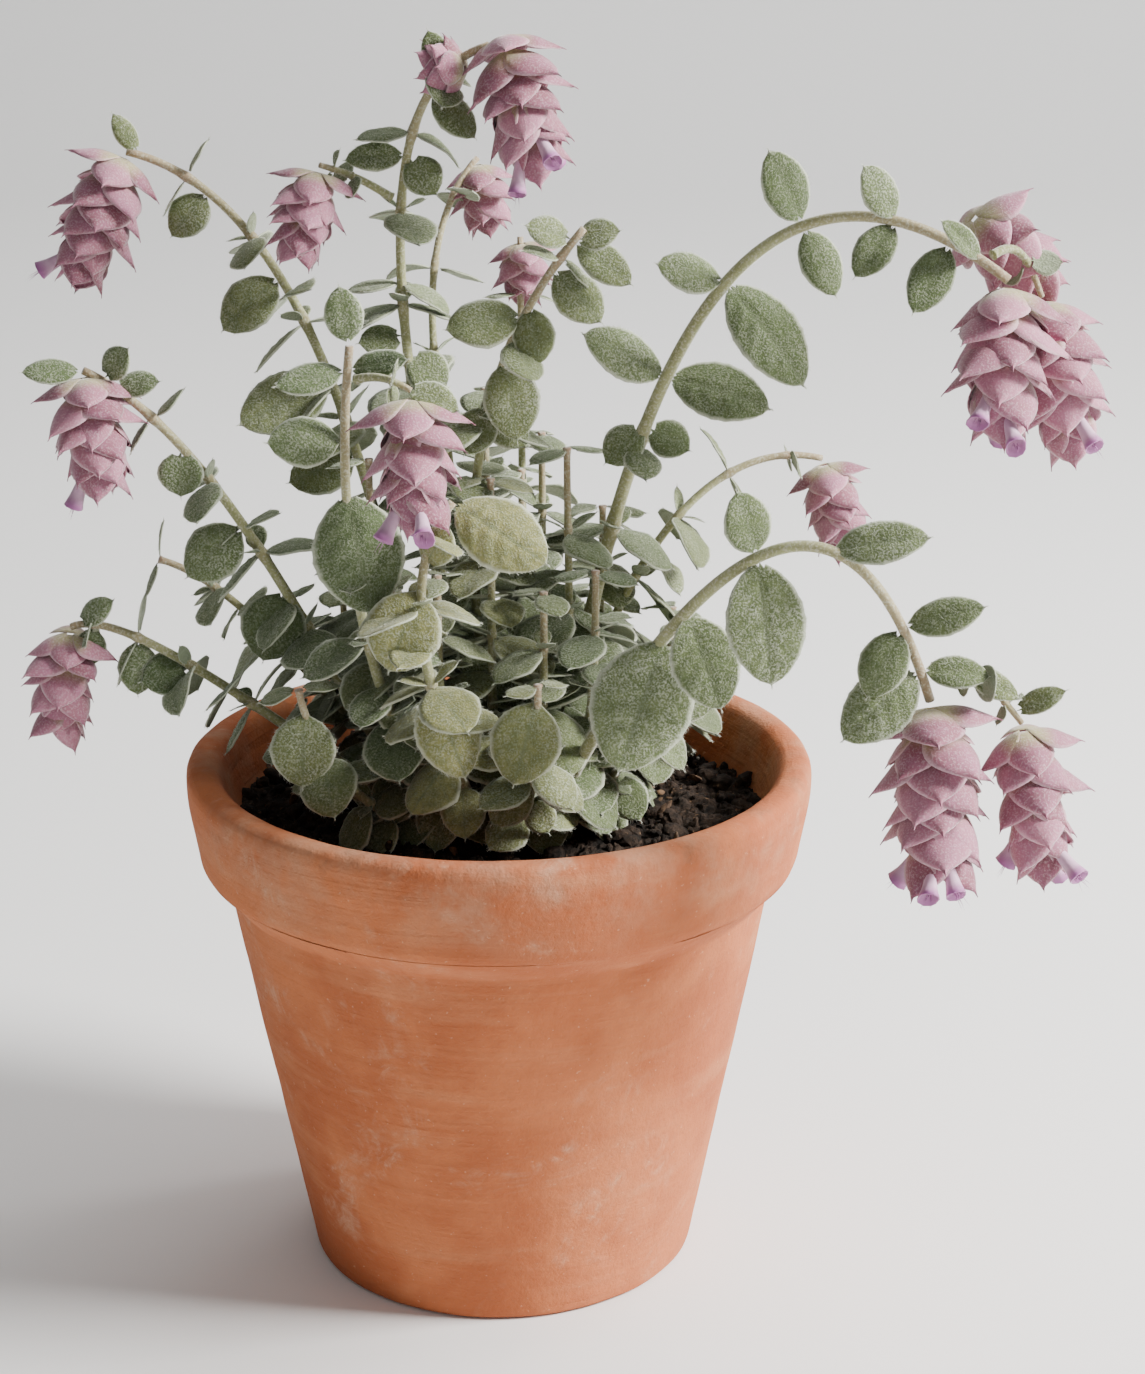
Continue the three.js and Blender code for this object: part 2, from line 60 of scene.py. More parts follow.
# %% Lengths and the pot's axis
MM = 0.001
pot_low, pot_high = (Vector(corner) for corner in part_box("terracotta_pot"))
AXIS = Vector(((pot_low.x + pot_high.x) / 2, (pot_low.y + pot_high.y) / 2, 0))
POT_HEIGHT = pot_high.z / MM
RIM_RADIUS = (pot_high.x - pot_low.x) / 2 / MM
SOIL_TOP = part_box("potting_soil")[1][2] / MM
print("pot axis", AXIS, "height", POT_HEIGHT, "rim radius", RIM_RADIUS, "soil", SOIL_TOP)

# %% [markdown]
# ## The camera
# A long lens a little above the plant, looking slightly down on it, so that the soil shows
# inside the rim. The place is measured from the pot's axis.

# %% The camera
CAMERA_OFFSET = Vector((0, -591, 332.5)) * MM
CAMERA_PITCH = 0.3239
CAMERA_YAW = 0.0277
SENSOR = 36
LENS = 73.362
camera_data = bpy.data.cameras.new("camera")
camera_data.sensor_width = SENSOR
camera_data.lens = LENS
camera_data.clip_start = 0.01
camera = bpy.data.objects.new("camera", camera_data)
camera.location = AXIS + CAMERA_OFFSET
camera.rotation_euler = (math.pi / 2 - CAMERA_PITCH, 0, -CAMERA_YAW)
bpy.context.scene.collection.objects.link(camera)
bpy.context.scene.camera = camera

# %% [markdown]
# ## The floor and the light
# A pale seamless sheet stands in for a studio: flat under the pot and curving up behind it. A
# big soft lamp high on the right gives the pot its bright side and a soft shadow on the left.

# %% The floor and the light
SHEET_COLOR = (0.9, 0.895, 0.885, 1)
SHEET_RISE = 3.2
SHEET_BEND = 0.9
WORLD_STRENGTH = 0.24


def deselect():
    bpy.ops.object.select_all(action="DESELECT")


def pick(obj):
    """Selects this object alone."""
    deselect()
    obj.select_set(True)
    bpy.context.view_layer.objects.active = obj


def apply_modifier(obj, name):
    pick(obj)
    bpy.ops.object.modifier_apply(modifier=name)


def finish_mesh(obj, smooth=True):
    """Puts the object's place into its mesh and shades it."""
    pick(obj)
    bpy.ops.object.transform_apply(location=True, rotation=True, scale=True)
    if smooth:
        bpy.ops.object.shade_smooth()
    return obj


def backdrop():
    """A wide sheet extruded back and then up, with its bend rounded."""
    deselect()
    bpy.ops.mesh.primitive_plane_add(size=1, location=(0, 0, 0))
    sheet = bpy.context.active_object
    sheet.name = "studio_sheet"
    sheet.scale = (7, 5, 1)
    finish_mesh(sheet, smooth=False)
    bpy.ops.object.mode_set(mode="EDIT")
    mesh = bmesh.from_edit_mesh(sheet.data)
    for edge in mesh.edges:
        edge.select = all(v.co.y > 2 for v in edge.verts)
    mesh.select_mode = {"EDGE"}
    mesh.select_flush_mode()
    bmesh.update_edit_mesh(sheet.data)
    bpy.ops.mesh.extrude_region_move(TRANSFORM_OT_translate={"value": (0, 0.4, SHEET_RISE)})
    bpy.ops.object.mode_set(mode="OBJECT")
    bevel = sheet.modifiers.new("bend", "BEVEL")
    bevel.width = SHEET_BEND
    bevel.segments = 16
    bevel.limit_method = "ANGLE"
    apply_modifier(sheet, "bend")
    bpy.ops.object.shade_smooth()
    material = bpy.data.materials.new("studio_white")
    material.use_nodes = True
    shader = material.node_tree.nodes["Principled BSDF"]
    shader.inputs["Base Color"].default_value = SHEET_COLOR
    shader.inputs["Roughness"].default_value = 0.9
    sheet.data.materials.append(material)


def area_lamp(name, place, aim, size, power, color=(1, 1, 1)):
    data = bpy.data.lights.new(name, "AREA")
    data.shape = "DISK"
    data.size = size
    data.energy = power
    data.color = color
    lamp = bpy.data.objects.new(name, data)
    lamp.location = place
    lamp.rotation_euler = (Vector(aim) - Vector(place)).to_track_quat("-Z", "Y").to_euler()
    bpy.context.scene.collection.objects.link(lamp)


def studio():
    backdrop()
    middle = (AXIS.x, AXIS.y, 0.15)
    area_lamp("key", (1.0, -0.2, 0.8), middle, 0.42, 46.0, (1, 0.985, 0.96))
    area_lamp("fill", (0.2, -1.6, 0.9), middle, 1.4, 1.2, (0.97, 0.98, 1))
    area_lamp("top", (0.4, 0.5, 1.5), middle, 1.2, 9.0)
    area_lamp("wall", (1.3, 1.0, 2.0), (0.6, 2.7, 1.1), 1.2, 45.0)
    world = bpy.data.worlds.new("studio")
    world.use_nodes = True
    world.node_tree.nodes["Background"].inputs["Color"].default_value = (1, 1, 1, 1)
    world.node_tree.nodes["Background"].inputs["Strength"].default_value = WORLD_STRENGTH
    bpy.context.scene.world = world


studio()

# %% [markdown]
# ## Small helpers for materials
# Each finish is a node tree. These helpers add a node with its settings and links in one line,
# so that each material further down reads as a short list.

# %% Small helpers for materials
class Finish:
    """A material and short ways to add nodes to it."""

    def __init__(self, name, roughness=0.8):
        self.material = bpy.data.materials.new(name)
        self.material.use_nodes = True
        self.tree = self.material.node_tree
        self.shader = self.tree.nodes["Principled BSDF"]
        self.shader.inputs["Roughness"].default_value = roughness

    def node(self, kind, inputs=None, **settings):
        made = self.tree.nodes.new(kind)
        for key, value in settings.items():
            setattr(made, key, value)
        for key, value in (inputs or {}).items():
            self.feed(made.inputs[key], value)
        return made

    def feed(self, socket, value):
        if isinstance(value, bpy.types.NodeSocket):
            self.tree.links.new(value, socket)
        else:
            socket.default_value = value

    def set(self, key, value):
        self.feed(self.shader.inputs[key], value)

    def place(self):
        return self.node("ShaderNodeTexCoord").outputs["Object"]

    def attribute(self, name):
        return self.node("ShaderNodeAttribute", attribute_name=name).outputs["Fac"]

    def blade(self):
        """Share across and along a blade, and how far out from its midrib, from 0 to 1."""
        uv = self.node("ShaderNodeUVMap", uv_map="along").outputs[0]
        across, along, _ = self.node("ShaderNodeSeparateXYZ", {"Vector": uv}).outputs
        off_middle = self.math("ABSOLUTE", self.math("SUBTRACT", across, 0.5))
        return across, along, self.math("MULTIPLY", off_middle, 2.0)

    def noise(self, where, scale, detail=4.0, roughness=0.55, distortion=0.0):
        made = self.node("ShaderNodeTexNoise", {
            "Vector": where, "Scale": scale, "Detail": detail,
            "Roughness": roughness, "Distortion": distortion})
        return made.outputs["Fac"]

    def math(self, operation, a, b=0.0, clamp=False):
        made = self.node("ShaderNodeMath", {0: a, 1: b}, operation=operation, use_clamp=clamp)
        return made.outputs[0]

    def span(self, value, low, high, to_low=0.0, to_high=1.0):
        made = self.node("ShaderNodeMapRange", {
            "Value": value, "From Min": low, "From Max": high, "To Min": to_low, "To Max": to_high})
        made.interpolation_type = "SMOOTHSTEP"
        return made.outputs["Result"]

    def mix(self, factor, a, b, blend="MIX"):
        made = self.node("ShaderNodeMix", data_type="RGBA", blend_type=blend)
        self.feed(made.inputs[0], factor)
        self.feed(made.inputs[6], a)
        self.feed(made.inputs[7], b)
        return made.outputs[2]

    def bump(self, height, strength, distance, normal=None):
        made = self.node("ShaderNodeBump", {"Height": height, "Strength": strength, "Distance": distance})
        if normal is not None:
            self.feed(made.inputs["Normal"], normal)
        return made.outputs["Normal"]


def rgb(red, green, blue):
    return (red, green, blue, 1)


# %% [markdown]
# ## Fired clay
# Terracotta is matte and never one colour: the fire leaves paler and darker clouds, lime salts
# come through as whitish bloom, and fine sand shows as grain. All of it is noise at different
# sizes on the object's own coordinates, stretched sideways where the potter's hands turned it.

# %% Fired clay
def clay_finish():
    f = Finish("fired_clay", 0.92)
    where = f.place()
    turned = f.node("ShaderNodeMapping", {"Vector": where, "Scale": (1, 1, 5)}).outputs[0]
    clouds = f.noise(where, 26, 5, 0.6, 0.4)
    bands = f.noise(turned, 22, 4, 0.6)
    grain = f.noise(where, 1500, 3, 0.7)
    color = f.mix(f.span(clouds, 0.38, 0.66), rgb(0.40, 0.11, 0.04), rgb(0.54, 0.175, 0.068))
    color = f.mix(f.span(bands, 0.5, 0.75, 0, 0.45), color, rgb(0.58, 0.24, 0.115))
    bloom_patches = f.noise(where, 34, 6, 0.68, 1.2)
    bloom_streaks = f.noise(where, 95, 6, 0.72, 2.0)
    bloom = f.math("MULTIPLY", f.span(bloom_patches, 0.5, 0.72), f.span(bloom_streaks, 0.4, 0.7))
    color = f.mix(f.math("MULTIPLY", bloom, 0.75), color, rgb(0.62, 0.37, 0.24))
    _, _, height = f.node("ShaderNodeSeparateXYZ", {"Vector": where}).outputs
    near_rim = f.span(height, 0.090, 0.119)
    smudge = f.math("MULTIPLY", f.span(f.noise(where, 48, 5, 0.65), 0.42, 0.68), near_rim)
    color = f.mix(f.math("MULTIPLY", smudge, 0.5), color, rgb(0.5, 0.31, 0.2))
    soot = f.math("MULTIPLY", f.span(f.noise(where, 70, 5, 0.7), 0.56, 0.75), f.span(height, 0.11, 0.118))
    color = f.mix(f.math("MULTIPLY", soot, 0.7), color, rgb(0.12, 0.07, 0.045))
    color = f.mix(f.span(grain, 0.3, 0.75, 0, 0.3), color, rgb(0.36, 0.14, 0.07))
    specks = f.noise(where, 900, 2, 0.5)
    color = f.mix(f.span(specks, 0.68, 0.76, 0, 0.3), color, rgb(0.72, 0.44, 0.28))
    f.set("Base Color", color)
    lines = f.noise(f.node("ShaderNodeMapping", {"Vector": where, "Scale": (1, 1, 30)}).outputs[0], 16, 3)
    rough = f.bump(lines, 0.5, 0.0008)
    rough = f.bump(f.noise(where, 230, 5, 0.7), 0.7, 0.0008, rough)
    f.set("Normal", f.bump(grain, 0.4, 0.00025, rough))
    f.set("Specular IOR Level", 0.25)
    return f.material


CLAY = clay_finish()

# %% [markdown]
# ## The pot
# A potter makes this shape by turning, and Blender's spin does the same: half of the wall's
# outline is drawn by extruding one vertex from point to point, and then spun about the axis.
# The rim is a full round lip above a band that steps in to the tapering body.

# %% The pot
POT_STEPS = 160
LIP = 3.6
COLLAR_DROP = 22.0
STEP_DROP = 28.4
STEP_RADIUS = 61.2
FOOT_RADIUS = 44.0
WALL = 6.4
FLOOR = 9.0
DRAIN_RADIUS = 7.0
OUTLINE_STEP = 2.6
ARC_STEPS = 5


def rounded(corners):
    """The outline's points, with each corner (radius, height, rounding) turned into an arc."""
    points = []
    for i, (r, z, rounding) in enumerate(corners):
        here = Vector((r, z))
        if rounding == 0:
            points.append(here)
            continue
        before = (Vector(corners[i - 1][:2]) - here).normalized()
        after = (Vector(corners[(i + 1) % len(corners)][:2]) - here).normalized()
        start, end = here + before * rounding, here + after * rounding
        for k in range(ARC_STEPS + 1):
            t = k / ARC_STEPS
            points.append(start * (1 - t) ** 2 + here * 2 * t * (1 - t) + end * t**2)
    return points


def divided(points, longest):
    """The same outline with no stretch longer than longest."""
    result = []
    for i, start in enumerate(points):
        end = points[(i + 1) % len(points)]
        parts = max(1, math.ceil((end - start).length / longest))
        result.extend(start.lerp(end, k / parts) for k in range(parts))
    return result


def spin_outline(name, points, steps):
    """Extrudes one vertex along the outline and spins it about the pot's axis."""
    deselect()
    bpy.ops.mesh.primitive_plane_add(size=0.001, location=(0, 0, 0))
    piece = bpy.context.active_object
    piece.name = name
    bpy.ops.object.mode_set(mode="EDIT")
    bpy.ops.mesh.merge(type="CENTER")
    places = [Vector((p.x * MM, 0, p.y * MM)) for p in points]
    bpy.ops.transform.translate(value=places[0])
    for before, after in zip(places, places[1:] + places[:1]):
        bpy.ops.mesh.extrude_region_move(TRANSFORM_OT_translate={"value": after - before})
    bpy.ops.mesh.select_all(action="SELECT")
    bpy.ops.mesh.spin(steps=steps, angle=2 * math.pi, center=(0, 0, 0), axis=(0, 0, 1))
    bpy.ops.mesh.select_all(action="SELECT")
    bpy.ops.mesh.remove_doubles(threshold=0.00001)
    bpy.ops.mesh.normals_make_consistent(inside=False)
    bpy.ops.object.mode_set(mode="OBJECT")
    return piece


def displace(piece, name, size, strength, depth=2):
    """Pushes the surface in and out by a cloud pattern and applies it."""
    pattern = bpy.data.textures.new(name, "CLOUDS")
    pattern.noise_scale = size
    pattern.noise_depth = depth
    push = piece.modifiers.new(name, "DISPLACE")
    push.texture = pattern
    push.texture_coords = "LOCAL"
    push.strength = strength
    push.mid_level = 0.5
    apply_modifier(piece, name)


def thicken(piece, thickness):
    """Turns a sheet into a closed solid by growing it away from its upper face."""
    thick = piece.modifiers.new("thick", "SOLIDIFY")
    thick.thickness = thickness
    thick.offset = -1
    apply_modifier(piece, "thick")


def make_pot():
    step_z = POT_HEIGHT - STEP_DROP
    collar_z = POT_HEIGHT - COLLAR_DROP
    inner_top = RIM_RADIUS - 2 * LIP
    outline = rounded([
        (DRAIN_RADIUS, 0, 1.0), (FOOT_RADIUS, 0, 1.8), (STEP_RADIUS, step_z, 0.9),
        (RIM_RADIUS - 4.4, collar_z - 1.6, 1.4), (RIM_RADIUS - 2.6, collar_z, 1.8),
        (RIM_RADIUS, POT_HEIGHT - 7, 3.0), (RIM_RADIUS - 0.1, POT_HEIGHT, 3.2),
        (inner_top, POT_HEIGHT - 0.2, 3.2),
        (STEP_RADIUS - WALL, step_z, 2.0), (FOOT_RADIUS - WALL, FLOOR, 3.0), (DRAIN_RADIUS, FLOOR, 1.0)])
    pot = spin_outline("pot", divided(outline, OUTLINE_STEP), POT_STEPS)
    displace(pot, "potter_hands", 0.045, 0.0007)
    displace(pot, "clay_lumps", 0.012, 0.0003)
    for vertex in pot.data.vertices:
        vertex.co.z = max(0.0, vertex.co.z)
    pot.location = AXIS
    finish_mesh(pot)
    pot.data.materials.append(CLAY)
    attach(pot, "root")
    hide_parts("terracotta_pot")
    print("pot faces", len(pot.data.polygons))
    return pot


make_pot()

# %% [markdown]
# ## Potting soil
# Soil is a heap of crumbs of every size. The bed is a dense grid, trimmed to a disc, thickened
# and roughened in two sizes; separate crumbs, bits of bark and one white grain of perlite lie
# on it, because a bumpy sheet alone never looks loose.

# %% Potting soil
def soil_finish():
    f = Finish("potting_soil", 0.95)
    where = f.place()
    damp = f.span(f.noise(where, 260, 6, 0.7), 0.35, 0.7)
    color = f.mix(damp, rgb(0.006, 0.004, 0.0025), rgb(0.05, 0.031, 0.02))
    color = f.mix(f.span(f.noise(where, 700, 3, 0.6), 0.62, 0.74), color, rgb(0.17, 0.1, 0.055))
    f.set("Base Color", color)
    f.set("Normal", f.bump(f.noise(where, 900, 5, 0.7), 0.8, 0.0012))
    f.set("Specular IOR Level", 0.3)
    return f.material


def plain_finish(name, dark, light, scale, roughness=0.85):
    """A finish that wanders between two tones, for small bits."""
    f = Finish(name, roughness)
    where = f.place()
    spots = f.noise(where, scale, 5, 0.65)
    f.set("Base Color", f.mix(f.span(spots, 0.3, 0.7), dark, light))
    f.set("Normal", f.bump(spots, 0.6, 0.0006))
    return f.material


SOIL = soil_finish()
BARK = plain_finish("bark_bits", rgb(0.05, 0.026, 0.014), rgb(0.2, 0.115, 0.06), 500)
PERLITE = plain_finish("perlite", rgb(0.5, 0.46, 0.4), rgb(0.8, 0.78, 0.72), 900)
SOIL_RADIUS = 60.5
SOIL_DEPTH = 6
BED_STEPS = 190
chance = np.random.default_rng(7)


def soil_height(x, y):
    """Height of the soil in millimetres, which rises a little at the stems."""
    r = np.hypot(x, y)
    mound = 2.2 * np.exp(-((r / 26) ** 2))
    sway = 0.9 * np.sin(x * 0.16 + 1) * np.cos(y * 0.13) + 0.5 * np.sin(x * 0.41 + y * 0.33)
    return SOIL_TOP - 2.0 + mound + sway


def make_soil():
    deselect()
    bpy.ops.mesh.primitive_grid_add(
        x_subdivisions=BED_STEPS, y_subdivisions=BED_STEPS, size=2 * SOIL_RADIUS * MM)
    bed = bpy.context.active_object
    bed.name = "soil_bed"
    bpy.ops.object.mode_set(mode="EDIT")
    mesh = bmesh.from_edit_mesh(bed.data)
    for vertex in mesh.verts:
        vertex.select = vertex.co.xy.length > SOIL_RADIUS * MM
    mesh.select_flush_mode()
    bmesh.update_edit_mesh(bed.data)
    bpy.ops.mesh.delete(type="VERT")
    bpy.ops.object.mode_set(mode="OBJECT")
    for vertex in bed.data.vertices:
        x, y = vertex.co.x / MM, vertex.co.y / MM
        vertex.co.z = float(soil_height(x, y)) * MM
    displace(bed, "clods", 0.007, 0.0052, 3)
    displace(bed, "crumbs", 0.0018, 0.0024, 2)
    thicken(bed, SOIL_DEPTH * MM)
    bed.location = AXIS
    finish_mesh(bed, smooth=False)
    bed.data.materials.append(SOIL)
    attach(bed, "root")
    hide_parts("potting_soil")
    print("soil faces", len(bed.data.polygons))


make_soil()

# %% [markdown]
# ## Many copies in one mesh
# Leaves, hairs, crumbs and bracts are each modelled once and then copied hundreds of times. A
# stamp collects the copies' corners and faces in arrays, which is fast, and makes one mesh of
# them in the end. Each copy also carries its own numbers, such as a tint, as attributes.

# %% Many copies in one mesh
class Stamp:
    """Collects copies of small meshes and makes one object of them."""

    def __init__(self):
        self.points = []
        self.loops = []
        self.sizes = []
        self.uvs = []
        self.values = {}
        self.count = 0

    def add(self, points, faces, uvs=None, **values):
        """points: n x 3 in millimetres about the pot's axis; faces: rows of corner numbers."""
        faces = np.asarray(faces)
        self.points.append(points)
        self.loops.append((faces + self.count).ravel())
        self.sizes.append(np.full(len(faces), faces.shape[1]))
        self.uvs.append(np.zeros((faces.size, 2)) if uvs is None else uvs[faces.ravel()])
        for key, value in values.items():
            self.values.setdefault(key, []).append(np.broadcast_to(value, len(points)))
        self.count += len(points)

    def make(self, name, material, slot, *nodes, smooth=True):
        mesh = bpy.data.meshes.new(name)
        points = np.concatenate(self.points) * MM + np.array(AXIS)
        loops = np.concatenate(self.loops)
        sizes = np.concatenate(self.sizes)
        mesh.vertices.add(len(points))
        mesh.vertices.foreach_set("co", points.astype(np.float32).ravel())
        mesh.loops.add(len(loops))
        mesh.loops.foreach_set("vertex_index", loops.astype(np.int32))
        mesh.polygons.add(len(sizes))
        mesh.polygons.foreach_set("loop_start", np.concatenate([[0], np.cumsum(sizes)[:-1]]).astype(np.int32))
        mesh.polygons.foreach_set("use_smooth", np.full(len(sizes), smooth))
        mesh.update(calc_edges=True)
        layer = mesh.uv_layers.new(name="along")
        layer.data.foreach_set("uv", np.concatenate(self.uvs).astype(np.float32).ravel())
        for key, rows in self.values.items():
            attribute = mesh.attributes.new(key, "FLOAT", "POINT")
            attribute.data.foreach_set("value", np.concatenate(rows).astype(np.float32))
        mesh.materials.append(material)
        piece = bpy.data.objects.new(name, mesh)
        bpy.context.scene.collection.objects.link(piece)
        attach(piece, "root")
        if nodes:
            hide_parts(*nodes)
        return piece


def unit_grid(along, across):
    """A grid from -1 to 1 each way, whose corners a master then moves."""
    deselect()
    bpy.ops.mesh.primitive_grid_add(x_subdivisions=across, y_subdivisions=along, size=2)
    return bpy.context.active_object


def grid_uvs(columns, rows):
    """Share across and along a grid's corners, for its upper and then its lower face."""
    across = np.tile(np.linspace(0, 1, columns), rows)
    along = np.repeat(np.linspace(0, 1, rows), columns)
    return np.column_stack([np.tile(across, 2), np.tile(along, 2)])


def master_arrays(piece):
    """Corners and faces of a modelled piece, which is then removed."""
    mesh = piece.data
    points = np.empty(len(mesh.vertices) * 3)
    mesh.vertices.foreach_get("co", points)
    faces = np.array([list(p.vertices) for p in mesh.polygons])
    bpy.data.objects.remove(piece)
    return points.reshape(-1, 3), faces


# %% [markdown]
# ## Loose crumbs, bark and perlite
# One crumb is an ico sphere knocked out of round by a displacement. Copies are stretched and
# turned at random, and flat ones serve as bark.

# %% Loose crumbs, bark and perlite
def crumb_master():
    deselect()
    bpy.ops.mesh.primitive_ico_sphere_add(subdivisions=2, radius=MM)
    crumb = bpy.context.active_object
    displace(crumb, "crumb_shape", 0.0011, 0.0011, 1)
    points, faces = master_arrays(crumb)
    return points / MM, faces


CRUMB_POINTS, CRUMB_FACES = crumb_master()


def random_turn():
    axis = Vector(chance.normal(size=3)).normalized()
    return np.array(Matrix.Rotation(chance.uniform(0, 2 * math.pi), 3, axis))


def scatter(name, material, count, low, high, stretch, lift, inner=0.0):
    stamp = Stamp()
    for _ in range(count):
        r = math.sqrt(chance.uniform(inner**2, 1)) * (SOIL_RADIUS - 1.5)
        a = chance.uniform(0, 2 * math.pi)
        x, y = r * math.cos(a), r * math.sin(a)
        size = low * (high / low) ** (chance.uniform() ** 2)
        shape = np.array(stretch) * chance.uniform(0.7, 1.3, 3) * size
        turned = (CRUMB_POINTS * shape) @ random_turn().T
        z = float(soil_height(x, y)) + lift * size
        stamp.add(turned + [x, y, z], CRUMB_FACES)
    return stamp.make(name, material, "soil", smooth=False)


scatter("soil_crumbs", SOIL, 900, 0.6, 2.6, (1, 1, 0.8), 0.45)
scatter("bark_bits", BARK, 110, 0.5, 2.2, (1.5, 0.6, 0.28), 1.0)
scatter("perlite", PERLITE, 9, 0.4, 0.8, (1, 1, 1), 1.2, 0.6)

# %% [markdown]
# ## Wood
# The crown that the shoots rise from barely shows. It keeps its construction solid and gets a
# finish of its own.

# %% Wood
WOOD = plain_finish("woody_crown", rgb(0.06, 0.035, 0.02), rgb(0.24, 0.15, 0.09), 300, 0.9)
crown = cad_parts["root_crown"]
crown.data.materials.clear()
crown.data.materials.append(WOOD)

# %% [markdown]
# ## How the plant grows
# Each shoot is a Bezier curve from the crown to its tip, with two handles, the easiest way to
# draw a stem that rises and then hangs over. Pairs of leaves stand along part of it, each pair
# turned a quarter from the last, as on every plant of the mint family. Branches start on a
# shoot, and heads hang from a shoot's tip by their length and lean.

# %% How the plant grows
SHOOTS = {
    "right_lower_arch": {
        "radius": 1.45, "leafy": [0.12, 0.3], "pairs": 2, "leaf": 16, "turn": 0,
        "curve": [[10, -15, 107], [20, -55, 145], [60, -75, 232], [86, -64, 152]]},
    "front_left": {
        "radius": 1.3, "leafy": [0.15, 0.62], "pairs": 4, "leaf": 18, "turn": 0,
        "curve": [[-10, -15, 107], [-28, -25, 135], [-34, -40, 180], [-29, -43, 220]]},
    "front_centre": {
        "radius": 1.3, "leafy": [0.3, 0.9], "pairs": 4, "leaf": 16, "turn": 30,
        "curve": [[-4, -17, 107], [-8, -45, 130], [-25, -50, 170], [-9, -43, 188]]},
    "right_arch": {
        "radius": 1.5, "leafy": [0.08, 0.36], "pairs": 4, "leaf": 18, "turn": 0,
        "curve": [[13, 1, 107], [25, 5, 190], [45, -30, 275], [102, -40, 232]]},
    "centre_rosette": {
        "radius": 1.2, "leafy": [0.12, 0.95], "pairs": 7, "leaf": 16, "turn": 20,
        "curve": [[1, 0, 107], [-5, -2, 150], [-15, -15, 200], [18, -24, 240]]},
    "top": {
        "radius": 1.3, "leafy": [0.1, 0.9], "pairs": 8, "leaf": 17, "turn": 10,
        "curve": [[-6, 9, 107], [-10, 25, 160], [-40, 30, 260], [-1, 10, 273]]},
    "left_high": {
        "radius": 1.3, "leafy": [0.1, 0.9], "pairs": 7, "leaf": 17, "turn": 0,
        "curve": [[-12, 13, 107], [-25, 15, 150], [-35, 45, 235], [-81, 34, 248]]},
    "left": {
        "radius": 1.3, "leafy": [0.15, 0.85], "pairs": 6, "leaf": 16, "turn": 90,
        "curve": [[-17, 1, 107], [-35, 0, 125], [-55, 0, 190], [-87, -8, 208]]},
    "lower_left": {
        "radius": 1.2, "leafy": [0.3, 0.9], "pairs": 5, "leaf": 13, "turn": 90,
        "curve": [[-18, -4, 107], [-40, -8, 120], [-80, 0, 155], [-94, 0, 149]]},
    "left_leafy": {
        "radius": 1.1, "leafy": [0.2, 1], "pairs": 5, "leaf": 15, "turn": 0,
        "curve": [[-16, 7, 107], [-35, 12, 120], [-55, 12, 155], [-75, 8, 162]]},
    "right_back": {
        "radius": 1.1, "leafy": [0.15, 0.92], "pairs": 6, "leaf": 15, "turn": 0,
        "curve": [[14, 9, 107], [20, 12, 140], [40, 15, 190], [73, 20, 181]]},
    "back_top": {
        "radius": 1.1, "leafy": [0.2, 0.92], "pairs": 6, "leaf": 15, "turn": 0,
        "curve": [[-1, 17, 107], [0, 40, 150], [-30, 45, 215], [-4, 65, 242]]},
    "back_hidden": {
        "radius": 1.1, "leafy": [0.25, 0.9], "pairs": 5, "leaf": 15, "turn": 0,
        "curve": [[6, 17, 107], [6, 45, 125], [6, 70, 180], [6, 75, 222]]},
    "low_front": {
        "radius": 1.1, "leafy": [0.4, 1], "pairs": 3, "leaf": 13, "turn": 40,
        "curve": [[3, -16, 107], [5, -35, 110], [8, -46, 130], [8, -46, 150]]},
    "low_right": {
        "radius": 1.1, "leafy": [0.35, 1], "pairs": 3, "leaf": 15, "turn": 60,
        "curve": [[16, -8, 107], [24, -18, 112], [32, -24, 135], [33, -25, 150]]},
    "low_left": {
        "radius": 1.1, "leafy": [0.35, 1], "pairs": 3, "leaf": 14, "turn": 0,
        "curve": [[-15, -10, 107], [-28, -25, 110], [-40, -32, 130], [-42, -33, 145]]},
}

BRANCH_STEP = 2.7
BRANCHES = {
    "top_left_branch": {
        "radius": 0.9, "leafy": [0.5, 0.8], "pairs": 2, "leaf": 8, "turn": 90,
        "on": "top", "at": 0.68, "handle": [-7, -3, 5], "tip": [-15, -7, 8]},
    "front_left_branch": {
        "radius": 0.9, "leafy": [0.6, 0.6], "pairs": 1, "leaf": 7, "turn": 40,
        "on": "front_left", "at": 0.94, "handle": [5, -4, 2], "tip": [11, -6, -1]},
    "right_arch_branch": {
        "radius": 0.9, "leafy": [0.6, 0.6], "pairs": 1, "leaf": 7, "turn": 30,
        "on": "right_arch", "at": 0.97, "handle": [6, 4, 3], "tip": [12, 9, -10]},
    "right_lower_branch": {
        "radius": 0.9, "leafy": [0.4, 0.8], "pairs": 2, "leaf": 9, "turn": 60,
        "on": "right_lower_arch", "at": 0.97, "handle": [8, 2, 1], "tip": [19, 3, -13]},
}

